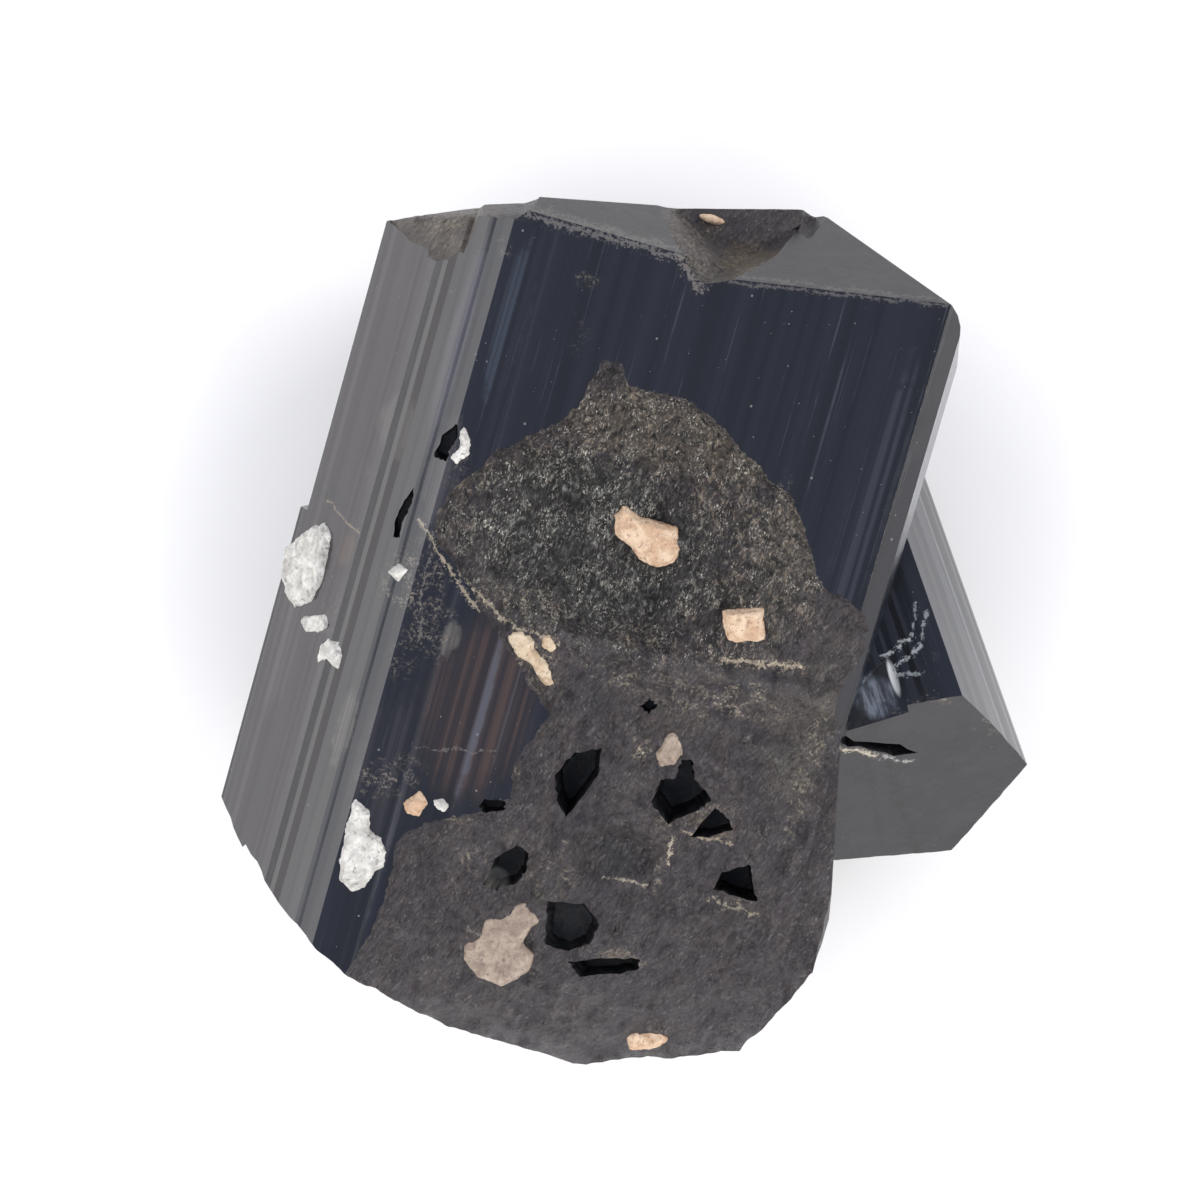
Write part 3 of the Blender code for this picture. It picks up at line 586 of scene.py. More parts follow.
def pit_block(index, material, depth, outline, level=None):
    """A tapering cutter for one pit, its outline broken up by small steps."""
    rng = random.Random(SEED + 100 + index)
    ring = []
    for start, end in zip(outline, outline[1:] + outline[:1]):
        start, end = Vector(start), Vector(end)
        for part in range(5):
            jog = Vector((rng.uniform(-1, 1), rng.uniform(-1, 1))) * (0.10 if part else 0.0)
            ring.append(start.lerp(end, part / 5) + jog)
    if level is None:
        level = float(np.mean(break_level(np.array(outline))))
    middle = sum(ring, Vector((0, 0))) / len(ring)
    deselect()
    bpy.ops.mesh.primitive_circle_add(vertices=len(ring), radius=MM, fill_type="NGON")
    pit = bpy.context.object
    pit.name = "pit_%d" % index
    for corner, spot in zip(pit.data.vertices, ring):
        corner.co = at(spot.x, spot.y, level + 6.0)
    edit(pit)
    centre = at(middle.x, middle.y, level)
    for drop, scale in ((5.7, 1.0), (0.6, 0.97), (0.6 * depth, 0.93), (0.6 * depth, 0.80)):
        bpy.ops.mesh.extrude_region_move(TRANSFORM_OT_translate={"value": OUT * -drop * MM})
        if scale < 1.0:
            bpy.ops.transform.resize(value=(scale, scale, scale), center_override=centre)
            centre = centre - OUT * drop * MM
    bpy.ops.mesh.select_all(action="SELECT")
    bpy.ops.mesh.normals_make_consistent(inside=False)
    close()
    pit.data.materials.append(material)
    return pit


def tourmaline_crystals():
    """Both crystals as one finished solid."""
    face, left, side_face, end, edge, broken, pit = (
        bpy.data.materials["tourmaline_" + name] for name in
        ("face", "left_face", "side_face", "end", "edge", "break", "pit"))
    axes = (FRONT, ACROSS, AXIS)
    body = main_prism(face)
    for top in (R2_FACE, R3_FACE):
        paint_faces(body, end, face_normal(top), 0.99)
    for point, _along, outward in lower_planes():
        slice_off(body, (point + outward * END_FIRST_CUT) * MM, outward)
    apply_cutters(body, top_blocks(end) + [step_block(left)])
    outward = Vector((LEFT_CORNER[1] - LEFT_EDGE[1], LEFT_EDGE[0] - LEFT_CORNER[0]))
    paint_faces(body, left, (ACROSS * outward.x + OUT * outward.y).normalized(), 0.975)
    wear_edges(body, EDGE_WEAR, edge, HOLLOW_OUTLINE)
    apply_cutters(body, [bridge(broken)], "UNION")
    apply_cutters(body, [surface_block("broken_front", axes, *BREAK_GRID, break_level, LID, broken)])
    for block in lower_end_blocks(broken):
        apply_cutters(body, [block])
    slice_off(body, (WORN_CORNER[0] + CENTRE_SHIFT) * MM, WORN_CORNER[1].normalized())
    side = side_prism(side_face, end)
    apply_cutters(side, [notch_block(side_face)])
    wear_edges(side, SIDE_EDGE_WEAR, edge)
    apply_cutters(side, [crack_block(pit)])
    apply_cutters(body, [side], "UNION")
    apply_cutters(body, [surface_block("top_hollow", axes, *HOLLOW_GRID, hollow_level, LID, broken)])
    apply_cutters(body, [surface_block("corner_chip", axes, *CHIP_GRID, chip_level, LID, broken)])
    for index, values in enumerate(PITS):
        apply_cutters(body, [pit_block(index, pit, *values)])
    slice_off(body, Vector((0, 0, 0)), Vector((0, 0, -1)))
    drop_crumbs(body)
    return body


def finish_shading(body):
    """Smooth broken surfaces, flat crystal faces."""
    pick(body)
    bpy.ops.object.shade_smooth_by_angle(angle=SMOOTH_ANGLE)
    broken = [index for index, slot in enumerate(body.data.materials) if slot.name == "tourmaline_break"]
    for face in body.data.polygons:
        if face.material_index not in broken:
            face.use_smooth = False


# Materials

TOURMALINE_IOR, MINERAL_IOR = 1.64, 1.53
PATCH_DEPTH = 100                       # patches reach this far, in mm, into the crystal


class Tree:
    """Short ways to add nodes to a tree and link them."""

    def __init__(self, tree):
        self.tree = tree

    def add(self, kind, **settings):
        made = self.tree.nodes.new("ShaderNode" + kind)
        for name, value in settings.items():
            setattr(made, name, value)
        return made

    def put(self, socket, value):
        """Links an output to the socket, or sets it to a plain value; colours are given without alpha."""
        if isinstance(value, bpy.types.NodeSocket):
            self.tree.links.new(value, socket)
        elif value is not None:
            socket.default_value = (*value, 1.0) if socket.type == "RGBA" else value

    def maths(self, operation, first, second=None):
        made = self.add("Math", operation=operation)
        self.put(made.inputs[0], first)
        self.put(made.inputs[1], second)
        return made.outputs[0]

    def times(self, first, second):
        return self.maths("MULTIPLY", first, second)

    def scaled(self, vector, factor):
        made = self.add("VectorMath", operation="SCALE")
        self.put(made.inputs[0], vector)
        self.put(made.inputs["Scale"], factor)
        return made.outputs[0]

    def cells(self, place, scale):
        """Distance to the nearest of scattered points, and random numbers for that point."""
        made = self.add("TexVoronoi", feature="F1")
        self.put(made.inputs["Vector"], place)
        self.put(made.inputs["Scale"], scale)
        chance = self.add("SeparateColor")
        self.put(chance.inputs[0], made.outputs["Color"])
        return made.outputs["Distance"], chance.outputs

    def vector(self, operation, first, second=None, output=0):
        made = self.add("VectorMath", operation=operation)
        self.put(made.inputs[0], first)
        if second is not None:
            self.put(made.inputs[1], second)
        return made.outputs[output]

    def mix(self, amount, first, second):
        """Mixes two colours."""
        made = self.add("Mix", data_type="RGBA")
        self.put(made.inputs[0], amount)
        self.put(made.inputs[6], first)
        self.put(made.inputs[7], second)
        return made.outputs[2]

    def blend(self, amount, first, second):
        """Mixes two numbers."""
        made = self.add("Mix", data_type="FLOAT")
        self.put(made.inputs[0], amount)
        self.put(made.inputs[2], first)
        self.put(made.inputs[3], second)
        return made.outputs[0]

    def span(self, value, low, high, to_low=0.0, to_high=1.0):
        """Turns low..high into to_low..to_high, smoothly and no further."""
        made = self.add("MapRange", interpolation_type="SMOOTHSTEP")
        for socket, given in zip(made.inputs, (value, low, high, to_low, to_high)):
            self.put(socket, given)
        return made.outputs[0]

    def noise(self, place, scale, detail=4.0, roughness=0.55, warp=0.0):
        made = self.add("TexNoise")
        for name, given in (("Vector", place), ("Scale", scale), ("Detail", detail),
                            ("Roughness", roughness), ("Distortion", warp)):
            self.put(made.inputs[name], given)
        return made.outputs["Fac"]

    def group(self, name, **inputs):
        made = self.add("Group", node_tree=bpy.data.node_groups[name])
        for label, given in inputs.items():
            self.put(made.inputs[label], given)
        return made.outputs


def new_group(name, inputs, outputs):
    """An empty shader node group with named inputs (kind, default) and outputs (kind)."""
    group = bpy.data.node_groups.new(name, "ShaderNodeTree")
    for label, (kind, default) in inputs.items():
        socket = group.interface.new_socket(name=label, in_out="INPUT", socket_type="NodeSocket" + kind)
        if default is not None:
            socket.default_value = default
    for label, kind in outputs.items():
        group.interface.new_socket(name=label, in_out="OUTPUT", socket_type="NodeSocket" + kind)
    given, out = group.nodes.new("NodeGroupInput"), group.nodes.new("NodeGroupOutput")
    return Tree(group), given.outputs, out.inputs


def growth_lines_group():
    """Lines along a prism: height for bump, pale and dark lines that come and go, and broad bands."""
    tree, given, out = new_group("growth_lines", {"Place": ("Vector", None)},
                                 dict.fromkeys(("Height", "Pale", "Dark", "Bands", "Lined"), "Float"))
    long = tree.vector("MULTIPLY", given["Place"], (1.0, 0.007, 1.0))
    height = tree.noise(long, 1.3, 9.0, 0.62)
    tree.put(out["Height"], height)
    tree.put(out["Lined"], tree.span(height, 0.42, 0.60))
    patchy = tree.noise(tree.vector("MULTIPLY", given["Place"], (1.0, 0.22, 1.0)), 0.45, 4.0, 0.6)
    pale = tree.span(tree.noise(long, 2.9, 4.0, 0.6), 0.57, 0.68)
    tree.put(out["Pale"], tree.times(pale, tree.span(patchy, 0.44, 0.62)))
    dark = tree.span(tree.noise(long, 2.1, 5.0, 0.65), 0.43, 0.34)
    tree.put(out["Dark"], tree.times(dark, tree.span(patchy, 0.58, 0.42)))
    tree.put(out["Bands"], tree.noise(long, 0.55, 2.0, 0.5))


def specks_group():
    """Small separate specks, such as dust."""
    tree, given, out = new_group("specks", {"Place": ("Vector", None), "Density": ("Float", 1.0),
                                            "Size": ("Float", 0.1), "Share": ("Float", 0.3)},
                                 {"Mask": "Float"})
    distance, chance = tree.cells(given["Place"], given["Density"])
    near = tree.maths("LESS_THAN", distance, tree.times(given["Size"], chance[1]))
    kept = tree.maths("LESS_THAN", chance[0], given["Share"])
    tree.put(out["Mask"], tree.times(near, kept))


def zone_group():
    """A soft patch of a face with a ragged edge."""
    tree, given, out = new_group("zone", {"Place": ("Vector", None), "Middle": ("Vector", None),
                                          "Reach": ("Vector", (1, 1, PATCH_DEPTH)), "Ragged": ("Float", 0.4),
                                          "Soft": ("Float", 0.3)}, {"Mask": "Float"})
    spot = tree.vector("DIVIDE", tree.vector("SUBTRACT", given["Place"], given["Middle"]), given["Reach"])
    away = tree.vector("LENGTH", spot, output=1)
    torn = tree.maths("SUBTRACT", tree.noise(given["Place"], 0.7, 4.0, 0.6), 0.5)
    torn = tree.times(torn, given["Ragged"])
    away = tree.maths("ADD", away, tree.times(torn, 2.0))
    low = tree.maths("SUBTRACT", 1.0, given["Soft"])
    tree.put(out["Mask"], tree.span(away, low, 1.0, 1.0, 0.0))


def vein_group():
    """A thin ragged line from one place to another."""
    tree, given, out = new_group("vein", {"Place": ("Vector", None), "Start": ("Vector", None),
                                          "End": ("Vector", None), "Width": ("Float", 0.2),
                                          "Wander": ("Float", 0.5)}, {"Mask": "Float"})
    wiggle = tree.add("TexNoise", noise_dimensions="3D")
    tree.put(wiggle.inputs["Vector"], given["Place"])
    tree.put(wiggle.inputs["Scale"], 0.6)
    tree.put(wiggle.inputs["Detail"], 5.0)
    shift = tree.vector("SUBTRACT", wiggle.outputs["Color"], (0.5, 0.5, 0.5))
    shift = tree.scaled(shift, tree.times(given["Wander"], 2.0))
    flat = tree.vector("MULTIPLY", tree.vector("ADD", given["Place"], shift), (1.0, 1.0, 0.0))
    run = tree.vector("SUBTRACT", given["End"], given["Start"])
    away = tree.vector("SUBTRACT", flat, given["Start"])
    share = tree.maths("DIVIDE", tree.vector("DOT_PRODUCT", away, run, output=1),
                       tree.vector("DOT_PRODUCT", run, run, output=1))
    share = tree.maths("MINIMUM", tree.maths("MAXIMUM", share, 0.0), 1.0)
    distance = tree.vector("LENGTH", tree.vector("SUBTRACT", away, tree.scaled(run, share)), output=1)
    broken = tree.span(tree.noise(given["Place"], 2.6, 6.0, 0.7), 0.40, 0.62, 0.02, 1.15)
    width = tree.times(given["Width"], broken)
    frayed = tree.span(tree.noise(given["Place"], 7.0, 3.0, 0.6), 0.35, 0.65, -0.45, 0.45)
    distance = tree.maths("ADD", distance, tree.times(width, frayed))
    tree.put(out["Mask"], tree.span(tree.maths("DIVIDE", distance, width), 0.5, 1.0, 1.0, 0.0))


def grain_group():
    """Broken mineral: height for bump, crumbs, glints, painted shade for small hollows and broad patches."""
    tree, given, out = new_group("broken_grain", {"Place": ("Vector", None), "Stretch": ("Float", 0.35)},
                                 dict.fromkeys(("Height", "Crumbs", "Glints", "HollowShade", "Fibres",
                                                "Patches"), "Float"))
    drawn = tree.add("CombineXYZ")
    parts = tree.add("SeparateXYZ")
    tree.put(parts.inputs[0], given["Place"])
    tree.put(drawn.inputs[0], parts.outputs[0])
    tree.put(drawn.inputs[1], tree.times(parts.outputs[1], given["Stretch"]))
    tree.put(drawn.inputs[2], parts.outputs[2])
    drawn = drawn.outputs[0]
    _distance, chance = tree.cells(drawn, 2.6)
    coarse = tree.noise(drawn, 1.2, 9.0, 0.70, 0.4)
    fine = tree.noise(drawn, 5.5, 5.0, 0.65, 0.2)
    height = tree.maths("ADD", coarse, tree.times(fine, 0.35))
    height = tree.maths("ADD", height, tree.times(chance[0], 0.16))
    tree.put(out["Crumbs"], tree.span(tree.noise(drawn, 2.5, 9.0, 0.78, 0.7), 0.50, 0.58))
    clustered = tree.span(tree.noise(given["Place"], 0.55, 6.0, 0.7, 0.5), 0.45, 0.60, 0.10, 1.0)
    glints = tree.span(tree.noise(drawn, 6.5, 8.0, 0.74, 0.8), 0.545, 0.60)
    tree.put(out["Glints"], tree.times(glints, clustered))
    # Painted shade: a mask of spots where small hollows would lie in shade.
    tree.put(out["HollowShade"], tree.span(tree.noise(given["Place"], 1.4, 6.0, 0.66, 0.3), 0.50, 0.40))
    turned = tree.add("VectorRotate", rotation_type="Z_AXIS")
    tree.put(turned.inputs["Vector"], given["Place"])
    turned.inputs["Angle"].default_value = FIBRE_TURN
    long = tree.vector("MULTIPLY", turned.outputs[0], (1.0, 0.20, 1.0))
    fibres = tree.span(tree.noise(long, 3.0, 7.0, 0.72, 0.8), 0.47, 0.60)
    tree.put(out["Fibres"], fibres)
    tree.put(out["Height"], tree.maths("ADD", height, tree.times(fibres, 0.22)))
    tree.put(out["Patches"], tree.noise(given["Place"], 0.28, 5.0, 0.6, 0.6))


def start_material(name, rotation, origin):
    """A material with a Principled shader and the place in a crystal's own frame, in mm."""
    material = bpy.data.materials.new(name)
    material.use_nodes = True
    tree = Tree(material.node_tree)
    shader = material.node_tree.nodes["Principled BSDF"]
    texture = tree.add("TexCoord")
    mapping = tree.add("Mapping", vector_type="POINT")
    tree.put(mapping.inputs["Vector"], texture.outputs["Object"])
    mapping.inputs["Scale"].default_value = (1 / MM, 1 / MM, 1 / MM)
    mapping.inputs["Rotation"].default_value = rotation.to_euler("XYZ")
    mapping.inputs["Location"].default_value = rotation @ -origin
    return tree, shader, mapping.outputs[0]


def coat(tree, shader, colour, roughness, specular=0.5, ior=TOURMALINE_IOR):
    """Sets the shader's colour, roughness and shine."""
    tree.put(shader.inputs["Base Color"], colour)
    tree.put(shader.inputs["Roughness"], roughness)
    shader.inputs["Specular IOR Level"].default_value = specular
    shader.inputs["IOR"].default_value = ior


def bump(tree, shader, layers):
    """Chains bump layers, each a height and its depth in mm, into the shader's normal."""
    normal = None
    for height, depth in layers:
        made = tree.add("Bump")
        made.inputs["Strength"].default_value = 1.0
        made.inputs["Distance"].default_value = depth * MM
        tree.put(made.inputs["Height"], height)
        tree.put(made.inputs["Normal"], normal)
        normal = made.outputs[0]
    tree.put(shader.inputs["Normal"], normal)


def patch(tree, place, middle, reach, ragged, soft):
    """Mask of a soft ragged patch around a middle (u, a)."""
    return tree.group("zone", Place=place, Middle=middle + (0,), Reach=reach + (PATCH_DEPTH,),
                      Ragged=ragged, Soft=soft)["Mask"]


def zones(tree, place, colour, spots, lines=None):
    """Lays soft patches over a colour.

    Each is its middle (u, a), reach, colour, strength, raggedness and how far it follows the lines.
    """
    for middle, reach, tint, strength, ragged, lined in spots:
        mask = tree.times(patch(tree, place, middle, reach, ragged, 0.45), strength)
        if lines is not None and lined:
            mask = tree.times(mask, tree.blend(lined, 1.0, lines))
        colour = tree.mix(mask, colour, tint)
    return colour


def veins(tree, place, colour, runs):
    """Lays thin ragged lines over a colour.

    Each is its start and end (u, a), width, wander, colour and strength.
    """
    for start, end, width, wander, tint, strength in runs:
        mask = tree.group("vein", Place=place, Start=start + (0,), End=end + (0,), Width=width,
                          Wander=wander)["Mask"]
        colour = tree.mix(tree.times(mask, strength), colour, tint)
    return colour


def crumb_clusters(tree, place, colour, spots, tint):
    """Lays loose crumbs over a colour around each spot: its middle (u, a), reach and strength."""
    crumbs = tree.times(tree.span(tree.noise(place, 3.6, 8.0, 0.76, 0.6), 0.49, 0.60),
                        tree.span(tree.noise(place, 0.9, 4.0, 0.6, 0.3), 0.40, 0.62))
    for middle, reach, strength in spots:
        mask = tree.times(tree.times(patch(tree, place, middle, reach, 0.6, 0.6), crumbs), strength)
        colour = tree.mix(mask, colour, tint)
    return colour


def face_material(name, rotation, origin, tones, patches, runs, crumbs, depth):
    """Glossy striated prism faces; tones are base, bands, roughness and specular level."""
    tree, shader, place = start_material(name, rotation, origin)
    base, band, roughness, specular = tones
    lines = tree.group("growth_lines", Place=place)
    dust = tree.group("specks", Place=place, Density=0.9, Size=0.11, Share=0.30)["Mask"]
    fine_dust = tree.group("specks", Place=place, Density=2.6, Size=0.13, Share=0.10)["Mask"]
    colour = tree.mix(tree.span(lines["Bands"], 0.35, 0.65), tuple(base), tuple(band))
    colour = tree.mix(tree.times(lines["Dark"], 0.7), colour, (0.0015, 0.0015, 0.002))
    colour = tree.mix(tree.times(lines["Pale"], 0.55), colour, PALE_LINE)
    colour = zones(tree, place, colour, patches, lines["Lined"])
    colour = veins(tree, place, colour, runs)
    colour = crumb_clusters(tree, place, colour, crumbs, FACE_CRUMB)
    specks = tree.maths("MAXIMUM", dust, fine_dust)
    colour = tree.mix(tree.times(specks, 0.5), colour, (0.20, 0.195, 0.185))
    rough = tree.blend(lines["Pale"], roughness, 0.34)
    coat(tree, shader, colour, tree.blend(specks, rough, 0.7), specular)
    waves = tree.noise(place, 0.09, 2.0, 0.5)
    bump(tree, shader, [(waves, 0.12), (lines["Height"], depth)])


def end_material():
    """Smooth top faces of the main crystal and the end of the small one."""
    tree, shader, place = start_material("tourmaline_end", TO_CRYSTAL, FRONT)
    dust = tree.group("specks", Place=place, Density=1.1, Size=0.10, Share=0.3)["Mask"]
    cloud = tree.noise(place, 0.25, 6.0, 0.65, 0.3)
    colour = tree.mix(tree.span(cloud, 0.35, 0.7), (0.0065, 0.0058, 0.0068), (0.0125, 0.011, 0.013))
    colour = veins(tree, place, colour, END_VEINS)
    colour = crumb_clusters(tree, place, colour, END_CRUMBS, FACE_CRUMB)
    colour = tree.mix(tree.times(dust, 0.4), colour, (0.16, 0.155, 0.14))
    coat(tree, shader, colour, tree.span(cloud, 0.3, 0.7, 0.22, 0.34), 0.37)
    bump(tree, shader, [(tree.noise(place, 0.14, 3.0, 0.55), 0.16),
                        (tree.noise(place, 2.2, 5.0, 0.6), 0.016)])


def edge_material(settings):
    """Worn edges: dark stretches broken by pale crumbs."""
    tree, shader, place = start_material("tourmaline_edge", TO_CRYSTAL, FRONT)
    wear = tree.span(tree.noise(place, 1.5, 6.0, 0.68, 0.3), 0.49, 0.62)
    coat(tree, shader, tree.mix(wear, tuple(settings.face_colour), FACE_CRUMB), tree.blend(wear, 0.26, 0.6))
    bump(tree, shader, [(tree.noise(place, 2.8, 5.0, 0.65), 0.14)])


def break_material(settings):
    """Rough broken tourmaline: a fibrous scar full of crumbs and a smoother pitted face."""
    tree, shader, place = start_material("tourmaline_break", TO_CRYSTAL, FRONT)
    grain = tree.group("broken_grain", Place=place, Stretch=0.42)
    scar = patch(tree, place, (-0.5, 6.8), (19.0, 13.5), 0.25, 0.3)
    inner = patch(tree, place, (-3.8, 3.4), (13.5, 9.0), 0.4, 0.45)
    colour = tree.mix(tree.span(grain["Patches"], 0.38, 0.62), tuple(settings.break_colour),
                      tuple(settings.break_tint))
    colour = tree.mix(tree.times(inner, 0.8), colour, (0.0055, 0.0055, 0.006))
    colour = zones(tree, place, colour, BREAK_ZONES)
    bare = tree.span(tree.noise(place, 0.30, 5.0, 0.62, 0.6), 0.42, 0.56, 0.22, 1.0)
    crumb = tree.mix(inner, (0.235, 0.190, 0.140), (0.215, 0.218, 0.195))
    amount = tree.times(tree.blend(scar, 0.15, 0.95), bare)
    colour = tree.mix(tree.times(grain["Crumbs"], amount), colour, crumb)
    colour = tree.mix(tree.times(grain["Fibres"], tree.blend(scar, 0.55, 0.25)), colour,
                      (0.062, 0.052, 0.056))
    # Painted shade: near-black spots darken the break where small hollows would be shaded.
    colour = tree.mix(tree.times(grain["HollowShade"], tree.blend(scar, 0.55, 0.95)), colour,
                      (0.0020, 0.0019, 0.0022))
    amount = tree.blend(scar, 0.18, 0.95)
    colour = tree.mix(tree.times(grain["Glints"], amount), colour, (0.66, 0.62, 0.53))
    colour = veins(tree, place, colour, BREAK_VEINS)
    colour = crumb_clusters(tree, place, colour, BREAK_CRUMBS, BREAK_CRUMB)
    coat(tree, shader, colour, tree.blend(grain["Crumbs"], 0.34, 0.55), 0.36)
    height = tree.times(grain["Height"], tree.blend(scar, 0.55, 1.0))
    bump(tree, shader, [(height, 0.55)])


def pit_material():
    """Inside of the pits and cracks."""
    tree, shader, place = start_material("tourmaline_pit", TO_CRYSTAL, FRONT)
    cloud = tree.noise(place, 1.1, 5.0, 0.6)
    colour = tree.mix(tree.span(cloud, 0.45, 0.7), (0.0045, 0.0050, 0.0070), (0.026, 0.023, 0.024))
    coat(tree, shader, zones(tree, place, colour, PIT_ZONES), tree.span(cloud, 0.3, 0.7, 0.42, 0.62), 0.25)
    bump(tree, shader, [(cloud, 0.12)])


def mineral_material(name, colours, stretch, roughness, depth):
    """Feldspar or mica: three colours, cleavage lines and small pores."""
    main, pale, stain = colours
    tree, shader, place = start_material(name, TO_CRYSTAL, FRONT)
    drawn = tree.vector("MULTIPLY", place, stretch)
    cloud = tree.noise(place, 0.8, 5.0, 0.62, 0.4)
    lines = tree.noise(drawn, 2.6, 6.0, 0.65, 0.3)
    colour = tree.mix(tree.span(cloud, 0.38, 0.64), main, pale)
    pores = tree.span(tree.noise(place, 2.4, 4.0, 0.65), 0.57, 0.68)
    colour = tree.mix(tree.times(pores, 0.8), colour, stain)
    colour = tree.mix(tree.span(lines, 0.52, 0.72, 0.0, 0.7), colour, tuple(v * 0.5 for v in main))
    coat(tree, shader, colour, tree.span(lines, 0.3, 0.7, roughness, roughness + 0.2), ior=MINERAL_IOR)
    bump(tree, shader, [(lines, depth), (tree.noise(place, 6.0, 4.0, 0.6), 0.05)])


PALE_LINE = (0.030, 0.033, 0.042)
FIBRE_TURN = math.radians(24.0)         # fibres of the pitted face lean this far from the crystal's length
FACE_CRUMB = (0.15, 0.13, 0.105)
BREAK_CRUMB = (0.40, 0.34, 0.25)
# Patches: middle (u, a), reach, colour, strength, raggedness, how far it follows the lines.
FACE_ZONES = [
    ((-9.3, -12.3), (5.6, 9.6), (0.050, 0.031, 0.024), 0.9, 0.12, 0.75),
    ((-9.0, -12.5), (0.7, 8.5), (0.070, 0.078, 0.098), 0.7, 0.45, 1.0),
    ((-6.6, -11.5), (0.4, 6.0), (0.060, 0.062, 0.076), 0.6, 0.45, 1.0),
    # Painted reflection: this lavender-grey band stands in for the brighter sky mirrored by tilted growth
    # strips near the left edge.
    ((-19.3, 17.0), (0.9, 11.0), (0.055, 0.052, 0.068), 0.7, 0.15, 0.6),
    ((-15.5, 20.0), (1.7, 8.5), (0.034, 0.043, 0.058), 0.7, 0.50, 1.0),
    ((-17.5, 6.0), (1.6, 6.0), (0.060, 0.056, 0.060), 0.6, 0.50, 0.7),
    ((-19.7, -17.0), (0.9, 4.5), (0.110, 0.098, 0.085), 0.6, 0.70, 0.8),
    ((-13.0, -7.2), (1.0, 1.7), (0.120, 0.112, 0.098), 0.6, 0.70, 0.5),
    ((-15.5, -20.0), (3.6, 9.0), (0.030, 0.027, 0.030), 0.6, 0.40, 0.9),
    ((17.6, 13.0), (2.2, 15.0), (0.026, 0.027, 0.033), 0.8, 0.40, 1.0),
]
LEFT_ZONES = [
    ((-22.3, 8.6), (2.3, 3.3), (0.070, 0.064, 0.058), 0.55, 0.55, 0.3),
    ((-23.8, -2.8), (0.8, 1.9), (0.090, 0.050, 0.030), 0.5, 0.60, 0.4),
    ((-27.0, -12.0), (1.6, 9.0), (0.045, 0.040, 0.044), 0.6, 0.25, 0.9),
    ((-22.6, -15.0), (1.0, 12.0), (0.060, 0.054, 0.056), 0.6, 0.35, 1.0),
]
# Side crystal patches, both painted light: a sky reflection on the notch facet and a glint on the notch's
# wall.
SIDE_PAINTED_SHEEN = [
    # Painted reflection: light-blue streaks on the notch facet stand in for the bright sky mirrored in it.
    ((-0.4, -3.8), (2.2, 2.2), (0.200, 0.225, 0.270), 1.0, 0.20, 0.85),
    # Painted highlight: this narrow near-white strip stands in for a glint on the notch's wall; it is not a
    # pale mineral.
    ((1.55, -5.0), (0.42, 2.0), (0.94, 0.94, 0.92), 1.0, 0.05, 0.0),
]
BREAK_ZONES = [
    ((0.0, 14.0), (12.0, 3.6), (0.066, 0.053, 0.040), 0.75, 0.5, 0.0),
    ((-6.0, 8.2), (8.0, 2.4), (0.0035, 0.0035, 0.004), 0.9, 0.6, 0.0),
    ((9.5, 0.5), (4.5, 3.5), (0.005, 0.0045, 0.005), 0.7, 0.6, 0.0),
    ((12.0, 6.0), (5.0, 6.5), (0.046, 0.040, 0.036), 0.6, 0.5, 0.0),
    ((17.5, -7.0), (3.6, 9.5), (0.042, 0.035, 0.029), 0.6, 0.5, 0.0),
    ((5.2, -22.1), (4.3, 2.8), (0.0075, 0.0070, 0.0105), 0.9, 0.15, 0.0),
    ((0.5, -8.6), (1.7, 1.4), (0.007, 0.006, 0.008), 0.7, 0.5, 0.0),
    ((6.5, -9.0), (3.0, 1.6), (0.036, 0.026, 0.022), 0.5, 0.5, 0.0),
    ((8.8, -31.2), (2.2, 0.9), (0.150, 0.120, 0.092), 0.7, 0.6, 0.0),
    ((13.0, -17.3), (2.4, 1.2), (0.110, 0.078, 0.052), 0.6, 0.6, 0.0),
    ((2.0, -35.0), (5.0, 2.6), (0.010, 0.0085, 0.012), 0.7, 0.5, 0.0),
    ((11.0, -28.0), (4.5, 5.5), (0.012, 0.010, 0.015), 0.6, 0.5, 0.0),
    ((-24.5, 27.0), (7.5, 6.0), (0.085, 0.066, 0.046), 0.8, 0.2, 0.0),
    ((3.5, 29.6), (4.4, 2.4), (0.110, 0.080, 0.045), 0.8, 0.5, 0.0),
]
PIT_ZONES = [
    ((-3.9, -27.0), (1.3, 0.9), (0.230, 0.220, 0.200), 0.9, 0.10, 0.0),
]
# Thin lines: start and end (u, a), width, wander, colour, strength.
FACE_VEINS = [
    ((-18.5, 2.0), (-15.4, -1.0), 0.30, 0.5, (0.26, 0.22, 0.16), 0.8),
    ((-15.4, -1.0), (-11.5, -4.2), 0.35, 0.5, (0.26, 0.22, 0.16), 0.8),
    ((-13.5, -16.9), (-7.0, -15.6), 0.14, 1.2, (0.12, 0.11, 0.10), 0.6),
    ((-17.2, 29.0), (-3.2, 29.0), 0.55, 0.5, (0.115, 0.108, 0.100), 0.75),
    ((-3.2, 29.0), (-0.9, 27.0), 0.70, 0.4, (0.130, 0.118, 0.102), 0.8),
    ((0.2, 28.0), (19.3, 31.2), 0.26, 0.3, (0.110, 0.105, 0.098), 0.55),
    ((-15.8, -8.0), (-17.0, 1.0), 0.20, 0.9, (0.13, 0.12, 0.105), 0.6),
]
LEFT_VEINS = [
    ((-28.6, 0.6), (-24.9, 0.5), 0.30, 0.5, (0.004, 0.003, 0.003), 1.0),
    ((-27.0, 0.1), (-22.0, -1.6), 0.16, 0.7, (0.20, 0.16, 0.11), 0.7),
]
SIDE_VEINS = [
    ((1.4, -7.1), (4.2, -8.4), 0.40, 0.5, (0.42, 0.44, 0.44), 0.9),
    ((4.2, -8.4), (5.6, -11.6), 0.22, 0.4, (0.34, 0.36, 0.36), 0.8),
    ((1.9, -5.7), (4.6, -7.3), 0.30, 0.4, (0.38, 0.40, 0.40), 0.9),
    ((4.6, -7.3), (6.2, -10.6), 0.22, 0.4, (0.34, 0.36, 0.36), 0.8),
    ((2.0, -5.0), (3.9, -4.7), 0.35, 0.3, (0.30, 0.32, 0.33), 0.8),
]
